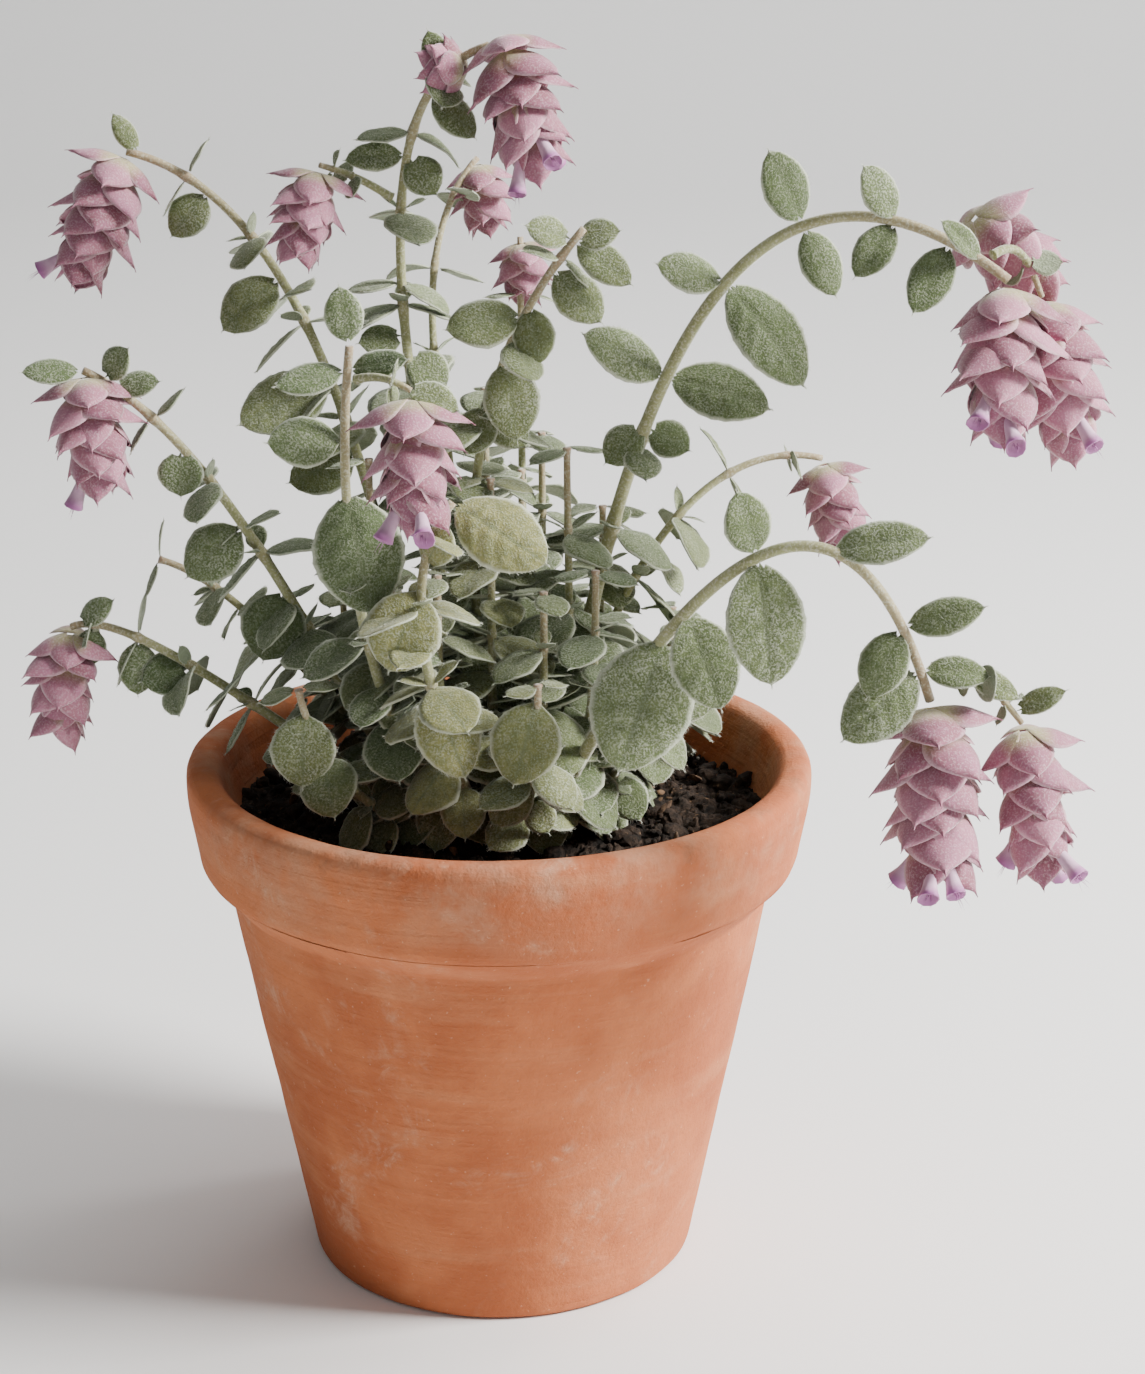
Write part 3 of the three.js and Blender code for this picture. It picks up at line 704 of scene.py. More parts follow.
HEAD_STEP = 1.6
HEADS = {
    "front_left": {"on": "front_left_branch", "hang": [1, -2, -26], "width": 22, "tiers": 4},
    "right_lower_front": {"on": "right_lower_arch", "hang": [3, -4, -38], "width": 25, "tiers": 6},
    "right_lower_side": {"on": "right_lower_branch", "hang": [6, -2, -31], "width": 20, "tiers": 5},
    "right_arch_front": {"on": "right_arch", "hang": [-1, -3, -30], "width": 24, "tiers": 5},
    "right_arch_side": {"on": "right_arch_branch", "hang": [8, 0, -32], "width": 23, "tiers": 5},
    "right_arch_back": {
        "on": "right_arch", "step": [-5, 14, 10], "hang": [18, 6, -16], "width": 19, "tiers": 4},
    "left": {"on": "left", "hang": [3, -1, -25], "width": 20, "tiers": 5},
    "lower_left": {"on": "lower_left", "hang": [-4, 0, -25], "width": 16, "tiers": 4},
    "left_high": {"on": "left_high", "hang": [-12, -3, -28], "width": 21, "tiers": 5},
    "top": {"on": "top", "step": [3, 0, 2], "hang": [8, -2, -29], "width": 22, "tiers": 5},
    "top_side": {"on": "top", "step": [-5, 2, -5], "hang": [-9, 3, 0], "width": 11, "tiers": 2},
    "top_left": {"on": "top_left_branch", "hang": [-5, -2, -19], "width": 15, "tiers": 4},
    "right_back": {"on": "right_back", "hang": [6, 0, -21], "width": 15, "tiers": 4},
    "back_top": {"on": "back_top", "hang": [2, 0, -16], "width": 13, "tiers": 3},
    "back_hidden": {"on": "back_hidden", "hang": [1, 1, -15], "width": 12, "tiers": 3},
}

# %% [markdown]
# ## Leaves that face the front
# The plant turns its show side to the front, so its largest leaves there are chosen one by
# one: where along the shoot, length, width, and the way each points as seen from the front.

# %% Leaves that face the front
FACING = {
    "right_lower_arch": [
        [0.4, 28, 21, -115], [0.45, 20, 14, -70], [0.6, 14, 10, 105], [0.6, 25, 16, -80],
        [0.75, 19, 9, 15], [0.92, 15, 10, -120], [0.92, 16, 8, 25], [0.97, 20, 13, -145], [0.97, 13, 7, 5]],
    "right_lower_branch": [[0.3, 12, 6, -20], [0.9, 11, 5, 30]],
    "right_arch": [
        [0.38, 11, 9, -145], [0.38, 10, 9, -20], [0.44, 20, 11, 145], [0.44, 22, 13, -10],
        [0.58, 15, 9, 160], [0.58, 26, 14, -45], [0.72, 17, 10, 115], [0.72, 15, 9, -60],
        [0.86, 13, 8, 120], [0.86, 13, 8, -135], [0.93, 15, 9, -120], [0.97, 12, 5, 135]],
    "centre_rosette": [
        [0.7, 11, 9, -120], [0.7, 11, 9, -50], [0.78, 17, 12, -80], [0.85, 16, 11, 180],
        [0.87, 12, 9, -85], [0.93, 14, 10, -45], [0.98, 10, 7, 150], [0.98, 9, 7, 20], [0.98, 14, 8, -30]],
    "front_left": [
        [0.75, 25, 19, -80], [0.84, 15, 11, 170], [0.96, 14, 7, -175], [0.96, 12, 7, 20], [1, 12, 8, 100]],
    "front_left_branch": [[0.9, 11, 7, -10]],
    "front_centre": [[0.5, 20, 14, -70], [0.75, 18, 16, -115], [0.8, 10, 8, 60], [1, 22, 15, -30]],
    "low_front": [[0.5, 8, 7, -65], [0.6, 12, 9, -140], [0.95, 18, 15, -100]],
    "low_right": [[0.4, 11, 9, -55], [0.85, 14, 13, -10]],
    "low_left": [[0.6, 9, 8, 150], [0.9, 16, 14, -90]],
    "left_high": [
        [0.45, 16, 12, -165], [0.55, 22, 15, -155], [0.7, 17, 12, -140], [0.86, 12, 10, -135],
        [0.98, 10, 5, 115]],
    "top": [
        [0.5, 11, 10, -40], [0.52, 10, 8, 180], [0.75, 13, 7, 180], [0.75, 10, 9, -55],
        [0.86, 13, 8, -40], [0.9, 9, 6, 105]],
    "left": [
        [0.5, 16, 15, -110], [0.62, 16, 13, -140], [0.78, 10, 10, -95], [0.94, 10, 6, 10],
        [0.96, 9, 7, 55], [1, 12, 6, 170]],
    "lower_left": [
        [0.35, 9, 8, -110], [0.6, 11, 10, -165], [0.75, 12, 9, -95], [0.9, 9, 7, -95], [0.97, 10, 6, 45]],
}
FORWARD = 0.35
FACE_UP = 0.7

# Short leafy shoots that fill the middle: heading about the axis, reach and height of the tip.
FILLS = [
    [200, 14, 196], [340, 16, 190], [98, 18, 198], [60, 20, 188], [265, 16, 186], [160, 30, 184],
    [220, 30, 178], [245, 30, 168], [290, 28, 164], [310, 32, 168], [42, 32, 170], [80, 32, 176],
    [144, 44, 150], [20, 42, 148], [60, 46, 146],
]


def fill_shoot(number, heading, reach, top):
    angle = math.radians(heading)
    rise = top - CROWN_TOP
    foot = 6 + reach * 0.22
    outs = (foot, foot + reach * 0.6, reach, reach)
    heights = (CROWN_TOP - 0.5, CROWN_TOP + rise * 0.2, CROWN_TOP + rise * 0.6, top)
    curve = [[out * math.cos(angle), out * math.sin(angle), z] for out, z in zip(outs, heights)]
    return {"radius": 1.1, "curve": curve, "leafy": [0.25, 1], "pairs": 5, "leaf": 17, "turn": number * 37}


def unit(v):
    return v / max(1e-9, np.linalg.norm(v))


def on_curve(shoot, share):
    """The points of a shoot's Bezier curve at one share of it or at many."""
    a, b, c, d = (np.array(point, float) for point in shoot["curve"])
    t = np.asarray(share, float)[..., None]
    return a * (1 - t) ** 3 + 3 * b * t * (1 - t) ** 2 + 3 * c * t**2 * (1 - t) + d * t**3


def branch_shoot(branch):
    """A branch as a shoot of its own, starting just off its parent's stem."""
    handle = np.array(branch["handle"], float)
    start = on_curve(SHOOTS[branch["on"]], branch["at"]) + unit(handle) * BRANCH_STEP
    tip = start + np.array(branch["tip"], float)
    first = start + handle
    second = first + (tip - first) * 0.4
    return {**branch, "curve": [start, first, second, tip]}


def pairs_of(shoot):
    """Share of the curve, length and turn of each pair of leaves."""
    low, high = shoot["leafy"]
    for k in range(shoot["pairs"]):
        share = k / (shoot["pairs"] - 1) if shoot["pairs"] > 1 else 0.5
        length = shoot["leaf"] * (1.1 - 0.2 * abs(2 * share - 1) - 0.35 * share**2)
        yield low + (high - low) * share, length, shoot["turn"] + 90 * k


def directions(points):
    """The direction of growth at each point of a line."""
    ahead = np.vstack([points[1:], points[-1:]]) - np.vstack([points[:1], points[:-1]])
    return np.array([unit(a) for a in ahead])


def node_of(name):
    """The construction node that this shoot or head stands for, if it is there."""
    return [name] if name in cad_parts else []


CROWN_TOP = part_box("root_crown")[1][2] / MM
shoots = dict(SHOOTS)
for name, branch in BRANCHES.items():
    shoots[name] = branch_shoot(branch)
for number, fill in enumerate(FILLS):
    shoots[f"fill_{number + 1:02d}"] = fill_shoot(number, *fill)
print("shoots", len(shoots), "heads", len(HEADS))

# %% [markdown]
# ## The leaf
# The blade is egg-shaped to round, a little wider than half its length, on a very short stalk.
# One leaf is a grid whose corners are moved to the outline, with the midrib sunk and the side
# veins curving towards the tip, so that the sheet swells between them. Solidify gives it a
# thickness. Each copy is then cupped and bent by its own amount.

# %% The leaf
STALK = 0.08
VEIN_PAIRS = 5.0
VEIN_CURVE = 1.25
LEAF_THICKNESS = 0.028


def leaf_outline(t):
    """Half width of the blade at t, from its base to its tip, as a share of its widest."""
    return np.sin(math.pi * np.clip(t, 0, 1) ** 0.86) ** 0.62


def vein_wave(u, t):
    """0 on the veins and 1 halfway between them, for u across and t along the blade."""
    side = t * VEIN_PAIRS - np.abs(u) ** 1.3 * VEIN_CURVE
    between = np.abs(np.sin(math.pi * side))
    midrib = np.clip(np.abs(u) / 0.10, 0, 1)
    return between ** 0.7 * midrib


def leaf_master(along, across, pointed):
    """A flat leaf one unit long with its stalk at the origin, growing along +Y."""
    leaf = unit_grid(along, across)
    for vertex in leaf.data.vertices:
        u, v = vertex.co.x, (vertex.co.y + 1) / 2
        t = max(0.0, (v - STALK) / (1 - STALK))
        wide = float(leaf_outline(t)) if v > STALK else 0.0
        wide = max(wide, 0.07 * (1 - t) ** 2)
        wide *= 1 + 0.018 * math.sin(t * 44)
        lobe = 0.07 * abs(u) ** 1.6 * (1 - t) ** 5
        tip = pointed * max(0.0, 1 - abs(u) * 1.6) * t**9
        relief = 0.028 * float(vein_wave(u, t)) * (1 - abs(u) ** 4) * min(1.0, 6 * t) * (1 - t**6)
        vertex.co = (u * wide / 2, v - lobe + tip, relief - LEAF_THICKNESS / 2)
    thicken(leaf, LEAF_THICKNESS)
    points, faces = master_arrays(leaf)
    half = len(points) // 2
    under = np.concatenate([np.zeros(half), np.ones(half)])
    columns, rows = across + 1, along + 1
    return {"points": points, "faces": faces, "uvs": grid_uvs(columns, rows), "under": under,
            "half": half, "columns": columns, "rows": rows}


LEAVES = {
    "fine": leaf_master(22, 14, 0.02),
    "plain": leaf_master(12, 8, 0.02),
    "small": leaf_master(8, 6, 0.04),
}
for kind, leaf in LEAVES.items():
    print(kind, "leaf faces", len(leaf["faces"]))


def bent(points, length, width, cup, bend, twist, wave):
    """The master's corners at size, cupped across, bent along and twisted."""
    x = points[:, 0] * width
    y = points[:, 1].copy()
    z = points[:, 2] * length
    z = z + cup * np.abs(points[:, 0] * 2) ** 1.6 * width
    z = z + wave * length * np.sin(y * 9) * np.abs(points[:, 0] * 2) ** 2
    turn = twist * y
    x, z = x * np.cos(turn) - z * np.sin(turn), x * np.sin(turn) + z * np.cos(turn)
    angle = bend * y**1.5
    reach = length * (y - angle**2 * y / 6)
    sink = -length * (angle * y / 2)
    return np.column_stack([x, reach + z * np.sin(angle), sink + z * np.cos(angle)])


# %% [markdown]
# ## Wool
# The whole plant is felted with short white hairs, which glow along every edge. A hair is a
# thin four-cornered spike, the simplest closed body there is, because there are many
# thousands of them. They stand on the leaf's edge, on its upper face and round the stems.

# %% Wool
HAIR_WIDTH = 0.055
SPIKE_FACES = np.array([[0, 2, 1], [0, 1, 3], [1, 2, 3], [2, 0, 3]])


def spikes(stamp, roots, ways, lengths, widths=HAIR_WIDTH, **values):
    """Adds one spike at each root, pointing along its way."""
    count = len(roots)
    if count == 0:
        return
    ways = ways / np.maximum(1e-9, np.linalg.norm(ways, axis=1))[:, None]
    helper = np.where(np.abs(ways[:, 2:3]) < 0.9, [[0, 0, 1.0]], [[1.0, 0, 0]])
    side = np.cross(ways, helper)
    side /= np.linalg.norm(side, axis=1)[:, None]
    back = np.cross(ways, side)
    width = np.broadcast_to(widths, count)[:, None] / 2
    corners = [roots + width * (side * math.cos(a) + back * math.sin(a))
               for a in (0, 2 * math.pi / 3, 4 * math.pi / 3)]
    tips = roots + ways * np.asarray(lengths)[:, None]
    points = np.stack(corners + [tips], axis=1).reshape(-1, 3)
    faces = (SPIKE_FACES[None] + 4 * np.arange(count)[:, None, None]).reshape(-1, 3)
    stamp.add(points, faces, **values)


def leaf_wool(stamp, world, leaf, leaf_frame, edge_count, face_count):
    """Hairs on one placed leaf: along its edge and over its upper face."""
    _, out, face = leaf_frame
    columns, rows, half = leaf["columns"], leaf["rows"], leaf["half"]
    top = world[:half].reshape(rows, columns, 3)
    edge = np.concatenate([top[:, 0], top[::-1][:1, 1:-1].reshape(-1, 3), top[::-1, -1]])
    middle = top[rows // 2, columns // 2]
    place = chance.uniform(0.06, 0.999, edge_count) * (len(edge) - 1)
    low = np.floor(place).astype(int)
    part = (place - low)[:, None]
    roots = edge[low] * (1 - part) + edge[low + 1] * part
    ways = roots - middle
    ways /= np.maximum(1e-9, np.linalg.norm(ways, axis=1))[:, None]
    ways = ways + out * 0.5 + chance.normal(0, 0.35, roots.shape)
    spikes(stamp, roots, ways, chance.uniform(0.35, 1.0, edge_count))
    i = chance.integers(1, rows - 2, face_count)
    j = chance.integers(0, columns - 2, face_count)
    p, q = chance.uniform(0, 1, (2, face_count, 1))
    near = top[i, j] * (1 - p) + top[i + 1, j] * p
    far = top[i, j + 1] * (1 - p) + top[i + 1, j + 1] * p
    roots = near * (1 - q) + far * q
    ways = face + out * 0.6 + chance.normal(0, 0.5, roots.shape)
    spikes(stamp, roots, ways, chance.uniform(0.25, 0.6, face_count), HAIR_WIDTH * 0.8)


# %% [markdown]
# ## Leaf, wool and stem finishes
# The leaf is dull green under a felt of white hairs: the felt is a fine speckle that is thinner
# on some leaves, and thicker along the veins. The margin and tip are painted pale: partly denser
# felt there, partly painted rim light of the lit edge hairs. The pattern follows the leaf, so it
# reads the leaf's own map. Stems are pale tan where they are woody and flushed pink near heads.

# %% Leaf, wool and stem finishes
def leaf_finish():
    f = Finish("woolly_leaf", 0.85)
    where = f.place()
    _, along, u = f.blade()
    tint, under, gold = f.attribute("tint"), f.attribute("under"), f.attribute("gold")
    rise = f.math("MULTIPLY", along, VEIN_PAIRS * (1 + STALK))
    side = f.math("SUBTRACT", rise, f.math("MULTIPLY", f.math("POWER", u, 1.3), VEIN_CURVE))
    wave = f.math("ABSOLUTE", f.math("SINE", f.math("MULTIPLY", side, math.pi)))
    vein = f.math("SUBTRACT", 1.0, f.span(wave, 0.02, 0.3))
    rib = f.math("SUBTRACT", 1.0, f.span(u, 0.01, 0.10))
    veins = f.math("MAXIMUM", f.math("MULTIPLY", vein, 0.6), rib)
    net = f.noise(where, 520, 3, 0.6)
    green = f.mix(tint, rgb(0.07, 0.105, 0.04), rgb(0.145, 0.19, 0.082))
    green = f.mix(gold, green, rgb(0.3, 0.29, 0.11))
    green = f.mix(f.span(net, 0.35, 0.65, 0, 0.4), green, rgb(0.05, 0.075, 0.028))
    felt = f.span(f.noise(where, 2300, 2, 0.6), 0.42, 0.66)
    patch = f.span(f.noise(where, 150, 3, 0.6), 0.3, 0.7, 0.35, 1.0)
    cover = f.math("MULTIPLY", felt, patch)
    cover = f.math("MULTIPLY", cover, f.span(tint, 0, 1, 0.38, 0.8))
    color = f.mix(cover, green, rgb(0.5, 0.53, 0.41))
    color = f.mix(f.math("MULTIPLY", veins, 0.5), color, rgb(0.15, 0.18, 0.1))
    # Painted rim light: the margin and tip are made pale, partly for the denser felt there and partly to
    # stand in for the glow of the lit edge hairs.
    edge = f.math("MAXIMUM", f.span(u, 0.86, 1.0), f.span(along, 0.95, 1.0))
    color = f.mix(f.math("MULTIPLY", edge, 0.75), color, rgb(0.6, 0.63, 0.5))
    color = f.mix(f.math("MULTIPLY", under, 0.6), color, rgb(0.3, 0.34, 0.24))
    f.set("Base Color", color)
    relief = f.bump(veins, -0.8, 0.0007)
    relief = f.bump(net, 0.35, 0.0005, relief)
    f.set("Normal", f.bump(felt, 0.5, 0.0002, relief))
    f.set("Sheen Weight", 0.35)
    f.set("Sheen Roughness", 0.45)
    f.set("Sheen Tint", rgb(0.9, 0.95, 0.85))
    f.set("Specular IOR Level", 0.2)
    return f.material


def wool_finish():
    f = Finish("white_wool", 0.9)
    f.set("Base Color", rgb(0.72, 0.74, 0.64))
    f.set("Sheen Weight", 0.4)
    f.set("Specular IOR Level", 0.3)
    return f.material


def stem_finish():
    f = Finish("stem", 0.85)
    where = f.place()
    flush = f.attribute("flush")
    base = f.mix(f.span(f.noise(where, 90, 3), 0.35, 0.65), rgb(0.25, 0.26, 0.12), rgb(0.33, 0.34, 0.17))
    base = f.mix(f.math("MULTIPLY", flush, 0.45), base, rgb(0.4, 0.2, 0.17))
    felt = f.span(f.noise(where, 1800, 2, 0.6), 0.45, 0.7)
    color = f.mix(f.math("MULTIPLY", felt, 0.65), base, rgb(0.58, 0.56, 0.44))
    f.set("Base Color", color)
    f.set("Normal", f.bump(f.noise(where, 1400, 3), 0.5, 0.0003))
    f.set("Sheen Weight", 0.5)
    f.set("Sheen Roughness", 0.45)
    f.set("Specular IOR Level", 0.2)
    return f.material


LEAF = leaf_finish()
WOOL = wool_finish()
STEM = stem_finish()

# %% [markdown]
# ## Stems
# A stem is a tube that swells a little at each joint and thins towards its tip. Rings of corners
# are set square to the line, and the ends are closed.

# %% Stems
STEM_SIDES = 10
STEM_STEPS = 60
JOINT_SPREAD = 0.012
JOINT_SWELL = 0.3
HAIRS_PER_MM = 4.5


def tube(stamp, line, radii, flush):
    """A closed tube along a line, in millimetres."""
    sides = STEM_SIDES
    ahead = directions(line)
    side = unit(np.cross(ahead[0], [0.3, 1.0, 0.1]))
    rings = []
    for point, way, radius in zip(line, ahead, radii):
        side = unit(side - way * side.dot(way))
        back = np.cross(way, side)
        angles = np.arange(sides) * 2 * math.pi / sides
        rings.append(point + radius * (np.cos(angles)[:, None] * side + np.sin(angles)[:, None] * back))
    count = len(rings)
    points = np.vstack(rings + [line[:1], line[-1:]])
    flushes = np.concatenate([np.repeat(flush, sides), flush[:1], flush[-1:]])
    quads = []
    for i in range(count - 1):
        for k in range(sides):
            a, b = i * sides + k, i * sides + (k + 1) % sides
            quads.append([a, b, b + sides, a + sides])
    first, last = len(points) - 2, len(points) - 1
    caps = [[first, (k + 1) % sides, k] for k in range(sides)]
    top = (count - 1) * sides
    caps += [[last, top + k, top + (k + 1) % sides] for k in range(sides)]
    stamp.add(points, quads, flush=flushes)
    stamp.loops[-1] = np.concatenate([stamp.loops[-1], (np.array(caps) + stamp.count - len(points)).ravel()])
    stamp.sizes[-1] = np.concatenate([stamp.sizes[-1], np.full(len(caps), 3)])
    stamp.uvs[-1] = np.vstack([stamp.uvs[-1], np.zeros((3 * len(caps), 2))])


def stem_of(stamp, wool, shoot):
    """A stem with a swelling at each pair of leaves, and its own wool."""
    share = np.linspace(0, 1, STEM_STEPS + 1)
    line = on_curve(shoot, share)
    joints = np.array([at for at, _, _ in pairs_of(shoot)])
    near_joint = np.exp(-((share[:, None] - joints) / JOINT_SPREAD) ** 2).max(axis=1)
    radii = shoot["radius"] * (1.08 - 0.4 * share) * (1 + JOINT_SWELL * near_joint)
    radii[0] *= 1.2
    flush = np.clip(share * 3 - 2, 0, 1) + 0.35 * near_joint
    tube(stamp, line, radii, flush)
    length = np.linalg.norm(np.diff(line, axis=0), axis=1).sum()
    count = int(HAIRS_PER_MM * length)
    i = chance.integers(0, STEM_STEPS, count)
    part = chance.uniform(0, 1, (count, 1))
    middle = line[i] * (1 - part) + line[i + 1] * part
    ways = chance.normal(size=(count, 3))
    along = directions(line)[i]
    ways -= along * (ways * along).sum(1)[:, None]
    ways /= np.maximum(1e-9, np.linalg.norm(ways, axis=1))[:, None]
    spikes(wool, middle + ways * radii[i][:, None] * 0.9, ways + along * 0.2, chance.uniform(0.3, 0.8, count))


# %% [markdown]
# ## Leaves on their joints
# At each joint two leaves leave the stem on opposite sides, lean a little towards the tip and
# droop by their weight. Large ones get the fine master, small ones the light master.

# %% Leaves on their joints
LEAF_LIFT = 0.35
LEAF_SINK = 0.6  # how deep in the stem a leaf starts, as a share of the stem's radius
FINE_OVER = 19
PLAIN_OVER = 11
BETWEEN_OVER = 12  # longer leaves also get a pair between the joints and a small pair beside them
EDGE_HAIRS = {"fine": 9, "plain": 5, "small": 5}  # hairs on the edge for each millimetre of length
FACE_HAIRS = 1.6
GOLDEN = {"front_centre": 0.85, "low_front": 0.5, "fill_05": 0.6}  # shoots whose leaves are yellower


def leaf_axes(tangent, turn, length, lift=LEAF_LIFT):
    """Across, out and face directions of a leaf at a joint."""
    side = unit(np.cross([0, 1.0, 0], tangent))
    back = np.cross(tangent, side)
    angle = math.radians(turn)
    out = unit(math.cos(angle) * side + math.sin(angle) * back + lift * tangent)
    out = unit(out + np.array([0, 0, -0.15 - 0.028 * length]))
    face = tangent + np.array([0, 0, 0.3])
    face = unit(face - out * face.dot(out))
    return np.cross(out, face), out, face


def put_leaf(stamp, wool, base, axes, length, width, cup, bend, gold=0.0, kind=None):
    kind = kind or ("fine" if length > FINE_OVER else "plain" if length > PLAIN_OVER else "small")
    leaf = LEAVES[kind]
    shaped = bent(leaf["points"], length, width, cup, bend, chance.normal(0, 0.12), chance.normal(0, 0.012))
    across, out, face = axes
    world = base + shaped @ np.array([across, out, face])
    tint = chance.uniform(0, 1)
    stamp.add(world, leaf["faces"], leaf["uvs"], tint=tint, under=leaf["under"], gold=gold)
    edge = int(length * EDGE_HAIRS[kind])
    leaf_wool(wool, world, leaf, axes, edge, int(edge * FACE_HAIRS))


def facing_axes(turn):
    """Across, out and face directions of a leaf that faces the front."""
    angle = math.radians(turn)
    out = unit(np.array([math.cos(angle), -FORWARD, math.sin(angle)]))
    face = np.array([0, -1, FACE_UP])
    face = unit(face - out * face.dot(out))
    return np.cross(out, face), out, face


def leaves_of(stamp, wool, name, shoot, gold):
    def leaf(point, axes, length, width, cup, bend, kind=None):
        base = point + axes[1] * shoot["radius"] * LEAF_SINK
        put_leaf(stamp, wool, base, axes, length, width, cup, bend, gold, kind)

    for at, length, width, turn in FACING.get(name, []):
        axes = facing_axes(turn + chance.normal(0, 3))
        leaf(on_curve(shoot, at), axes, length, width, chance.normal(-0.04, 0.05), chance.uniform(0.1, 0.5))
    for at, length, turn in pairs_of(shoot):
        point = on_curve(shoot, at)
        ahead = unit(on_curve(shoot, min(1, at + 0.02)) - on_curve(shoot, at - 0.02))
        for half in (0, 180):
            size = length * chance.uniform(0.9, 1.08)
            axes = leaf_axes(ahead, turn + half + chance.normal(0, 8), size)
            leaf(point, axes, size, size * chance.uniform(0.78, 0.92),
                 chance.normal(-0.02, 0.06), chance.uniform(0.1, 0.6))
        if length <= BETWEEN_OVER:
            continue
        between = on_curve(shoot, max(0.1, at - 0.09))
        for half in (60, 240):
            size = length * chance.uniform(0.7, 0.95)
            axes = leaf_axes(ahead, turn + half + chance.normal(0, 12), size)
            leaf(between, axes, size, size * chance.uniform(0.78, 0.92), 0.0, chance.uniform(0.1, 0.6))
        for half in (70, 250):
            size = length * chance.uniform(0.35, 0.5)
            leaf(point, leaf_axes(ahead, turn + half, size, 1.2), size, size * 0.7, 0.05, 0.2, "small")


def make_shoots():
    for name, shoot in shoots.items():
        leaves, wool, stem = Stamp(), Stamp(), Stamp()
        stem_of(stem, wool, shoot)
        gold = GOLDEN.get(name, chance.uniform(0, 0.3))
        leaves_of(leaves, wool, name, shoot, gold)
        stem.make(f"stem_{name}", STEM, "leaf", *node_of(f"shoot_{name}"))
        leaves.make(f"leaves_{name}", LEAF, "leaf")
        wool.make(f"wool_{name}", WOOL, "leaf", smooth=False)


make_shoots()

# %% [markdown]
# ## Bracts
# What looks like a pink hop is a spike of coloured bracts, each a thin, cupped, pointed scale.
# A scale is modelled like a leaf, with its own outline, and the head is tiers of four scales
# that overlap like tiles, wide above and closing to the tip.

# %% Bracts
BRACT_THICKNESS = 0.022
BRACTS_IN_TIER = 4
BRACT_LENGTH = 12.5
USUAL_WIDTH = 24  # a head this wide has bracts of the length above
OPEN_ANGLE = 56
CLOSING = 36
BRACT_HAIRS = 14


def bract_master(along, across):
    bract = unit_grid(along, across)
    for vertex in bract.data.vertices:
        u, v = vertex.co.x, (vertex.co.y + 1) / 2
        wide = max(0.16 * (1 - v), math.sin(math.pi * v**0.84) ** 0.72)
        ridge = 0.012 * abs(math.sin(3.5 * math.pi * u * (1 - 0.3 * v)))
        vertex.co = (u * wide / 2, v + 0.12 * v**6 * (1 - abs(u)), ridge * (1 - v) + 0.10 * v * (1 - u * u))
    thicken(bract, BRACT_THICKNESS)
    points, faces = master_arrays(bract)
    columns, rows = across + 1, along + 1
    return points, faces, grid_uvs(columns, rows), columns, rows


BRACT = bract_master(10, 8)


def bract_finish():
    f = Finish("pink_bract", 0.7)
    where = f.place()
    across, along, u = f.blade()
    tint = f.attribute("tint")
    pink = f.mix(tint, rgb(0.24, 0.082, 0.11), rgb(0.5, 0.215, 0.29))
    pink = f.mix(f.span(f.noise(where, 260, 4, 0.6), 0.35, 0.7, 0, 0.5), pink, rgb(0.42, 0.17, 0.27))
    color = f.mix(f.span(along, 0.12, 0.55), rgb(0.42, 0.38, 0.2), pink)
    lines = f.math("ABSOLUTE", f.math("SINE", f.math("MULTIPLY", across, 19.0)))
    line = f.math("SUBTRACT", 1.0, f.span(lines, 0.05, 0.5))
    color = f.mix(f.math("MULTIPLY", line, 0.28), color, rgb(0.33, 0.12, 0.19))
    color = f.mix(f.span(u, 0.84, 1.0, 0, 0.5), color, rgb(0.72, 0.5, 0.55))
    color = f.mix(f.span(along, 0.9, 1.0, 0, 0.5), color, rgb(0.36, 0.13, 0.2))
    felt = f.span(f.noise(where, 2200, 2, 0.6), 0.45, 0.7)
    color = f.mix(f.math("MULTIPLY", felt, 0.3), color, rgb(0.78, 0.62, 0.64))
    f.set("Base Color", color)
    relief = f.bump(line, -0.3, 0.0003)
    f.set("Normal", f.bump(felt, 0.35, 0.00015, relief))
    f.set("Sheen Weight", 0.45)
    f.set("Sheen Roughness", 0.4)
    f.set("Specular IOR Level", 0.25)
    return f.material


BRACTS = bract_finish()


def square_frame(way):
    """Two directions square to way and to each other."""
    helper = np.array([0, 1.0, 0]) if abs(way[1]) < 0.9 else np.array([1.0, 0, 0])
    side = unit(np.cross(way, helper))
    return side, np.cross(way, side)


def hanging(head):
    """Where a head starts, the way it hangs, its length and two directions square to it."""
    hang = np.array(head["hang"], float)
    way = unit(hang)
    step = np.array(head["step"], float) if "step" in head else way * HEAD_STEP
    top = np.array(shoots[head["on"]]["curve"][3], float) + step
    return top, way, np.linalg.norm(hang), *square_frame(way)


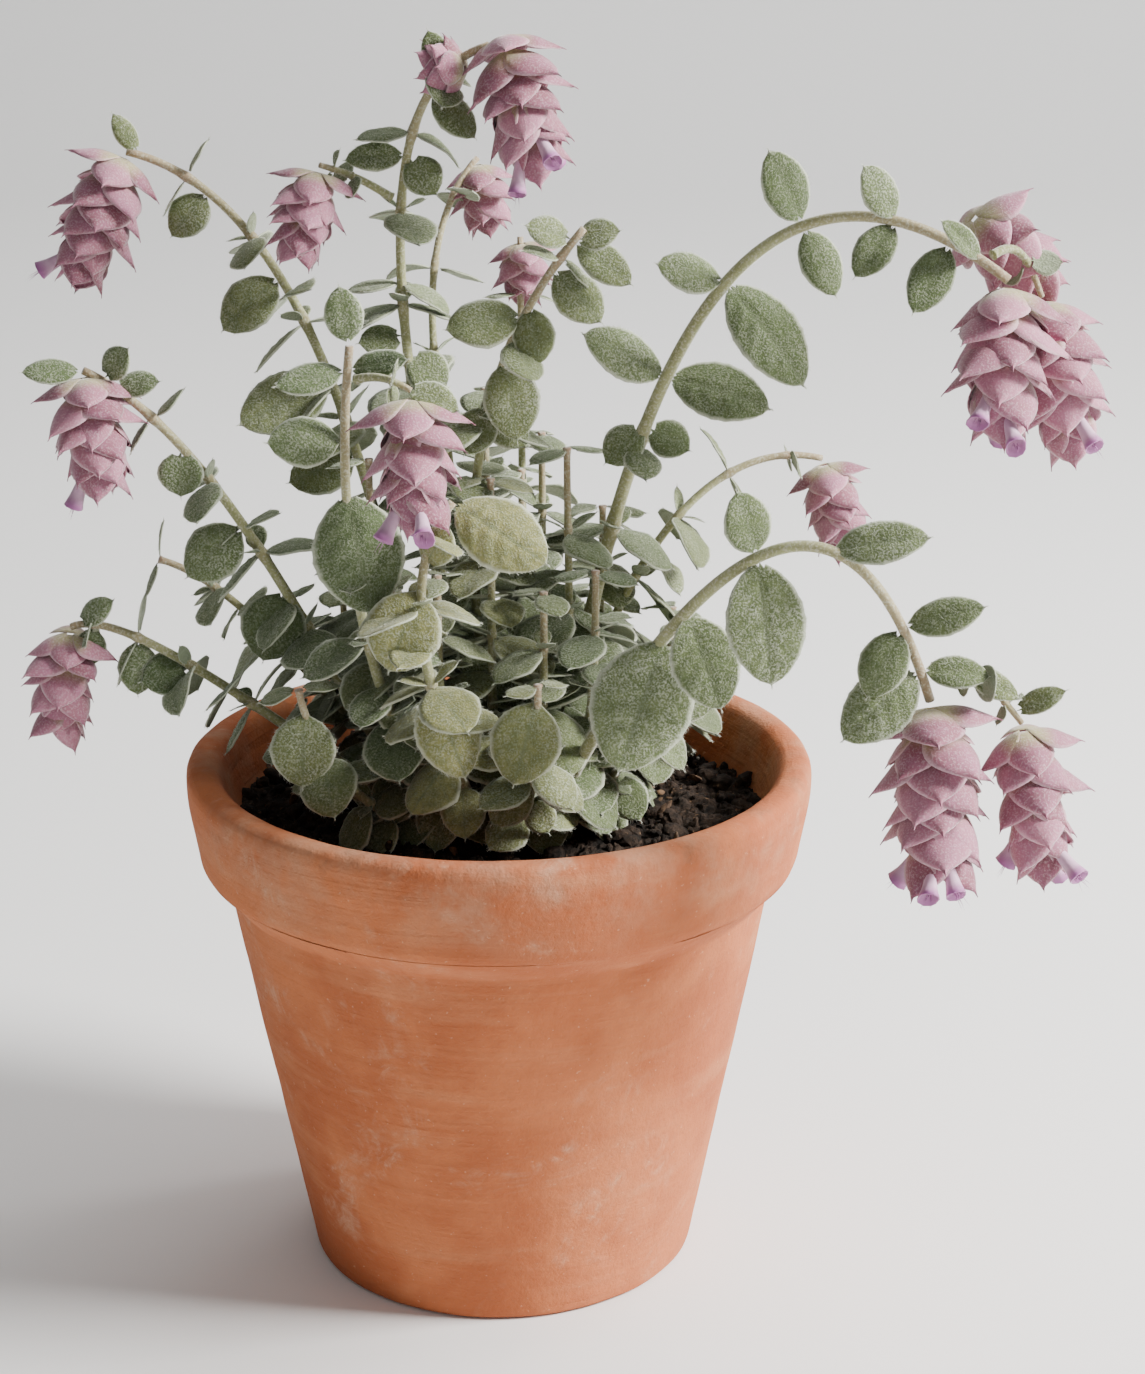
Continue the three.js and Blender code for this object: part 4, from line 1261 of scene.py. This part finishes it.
def make_head(name, head):
    top, way, length, side, back = hanging(head)
    points, faces, uvs, columns, rows = BRACT
    bracts, wool = Stamp(), Stamp()
    tiers = head["tiers"] + 2
    for tier in range(tiers):
        share = tier / (tiers - 1)
        size = (BRACT_LENGTH + 1.5 * math.sin(math.pi * share)) * (head["width"] / USUAL_WIDTH) ** 0.6
        open_angle = math.radians(OPEN_ANGLE - CLOSING * share)
        start = top + way * (length - size * 0.86) * share * 0.96
        for k in range(BRACTS_IN_TIER):
            angle = (k + tier / 2) * 2 * math.pi / BRACTS_IN_TIER + chance.normal(0, 0.12)
            radial = math.cos(angle) * side + math.sin(angle) * back
            spread = open_angle + chance.normal(0, 0.12)
            out = unit(math.cos(spread) * way + math.sin(spread) * radial)
            face = unit(radial - out * radial.dot(out))
            across = np.cross(out, face)
            scale = size * chance.uniform(0.9, 1.08)
            width = scale * 0.92 * chance.uniform(0.92, 1.08)
            x = points[:, 0] * width
            y = points[:, 1]
            curl = -0.42 * np.abs(points[:, 0] * 2) ** 2 * width * 0.5
            flare = scale * (0.12 * np.sin(math.pi * y) + 0.07 * np.clip(y - 0.75, 0, 1) * 3)
            z = points[:, 2] * scale * 0.6 + curl + flare
            shaped = np.column_stack([x, y * scale, z])
            world = start + radial * 0.7 + shaped @ np.array([across, out, face])
            bracts.add(world, faces, uvs, tint=chance.uniform(0, 1))
            half = len(points) // 2
            grid = world[:half].reshape(rows, columns, 3)
            edge = np.concatenate([grid[2:, 0], grid[::-1][:-2, -1]])
            roots = edge[chance.integers(0, len(edge), BRACT_HAIRS)]
            ways = roots - grid[rows // 2, columns // 2] + chance.normal(0, 1.0, roots.shape)
            spikes(wool, roots, ways, chance.uniform(0.2, 0.45, BRACT_HAIRS), 0.04)
    bracts.make(f"bracts_{name}", BRACTS, "bract", *node_of(f"head_{name}"))
    wool.make(f"wool_bracts_{name}", WOOL, "bract", smooth=False)


for name, head in HEADS.items():
    make_head(name, head)

# %% [markdown]
# ## Small flowers
# Out of the lower bracts of an open head come a few small lilac flowers: a slim tube that
# widens to two lips, with thin stamens. A grid rolled into a tube gives the shape, and the
# lips are its last rows, flared above and below.

# %% Small flowers
FLOWERS = {"top": 3, "right_lower_front": 4, "right_lower_side": 3, "right_arch_front": 3,
           "right_arch_side": 2, "front_left": 3, "left_high": 1, "left": 1}
FLOWER_LENGTH = 9.5
STAMEN_WIDTH = 0.22
STAMENS = 4
MOUTH_START = 0.72
PETAL_THICKNESS = 0.025


def flower_master(along, around):
    flower = unit_grid(along, around)
    for vertex in flower.data.vertices:
        angle, v = vertex.co.x * math.pi, (vertex.co.y + 1) / 2
        lips, mouth = math.cos(angle) ** 2, max(0.0, v - MOUTH_START)
        radius = 0.07 + 0.09 * v + 0.28 * mouth * (0.4 + 1.6 * lips)
        vertex.co = (radius * math.sin(angle), v + 0.1 * mouth * lips, radius * math.cos(angle))
    bpy.ops.object.mode_set(mode="EDIT")
    bpy.ops.mesh.select_all(action="SELECT")
    bpy.ops.mesh.remove_doubles(threshold=0.0001)
    bpy.ops.mesh.normals_make_consistent(inside=False)
    bpy.ops.object.mode_set(mode="OBJECT")
    thicken(flower, PETAL_THICKNESS)
    return master_arrays(flower)


FLOWER_POINTS, FLOWER_FACES = flower_master(8, 12)


def flower_finish():
    f = Finish("lilac_flower", 0.6)
    spots = f.noise(f.place(), 700, 3, 0.6)
    lilac = f.mix(spots, rgb(0.6, 0.33, 0.5), rgb(0.78, 0.56, 0.7))
    f.set("Base Color", f.mix(f.span(f.attribute("reach"), 0.7, 1.0), lilac, rgb(0.42, 0.14, 0.36)))
    f.set("Normal", f.bump(spots, 0.4, 0.0002))
    f.set("Sheen Weight", 0.3)
    return f.material


FLOWER = flower_finish()


def make_flowers(name, count):
    stamp = Stamp()
    top, way, length, side, back = hanging(HEADS[name])
    for k in range(count):
        angle = 2 * math.pi * (k + 0.5) / count + chance.normal(0, 0.3)
        radial = math.cos(angle) * side + math.sin(angle) * back
        out = unit(way + radial * chance.uniform(0.4, 0.9) + np.array([0, -0.25, 0]))
        across, _ = square_frame(out)
        face = np.cross(across, out)
        base = top + way * length * chance.uniform(0.62, 0.8) + radial * HEADS[name]["width"] * 0.12
        world = base + (FLOWER_POINTS * FLOWER_LENGTH) @ np.array([across, out, face])
        stamp.add(world, FLOWER_FACES, reach=FLOWER_POINTS[:, 1])
        roots = base + out * FLOWER_LENGTH * 0.9 + chance.normal(0, 0.3, (STAMENS, 3))
        ways = out + chance.normal(0, 0.18, (STAMENS, 3))
        spikes(stamp, roots, ways, chance.uniform(3, 5, STAMENS), STAMEN_WIDTH, reach=1.0)
    stamp.make(f"flowers_{name}", FLOWER, "bract")


for name, count in FLOWERS.items():
    make_flowers(name, count)
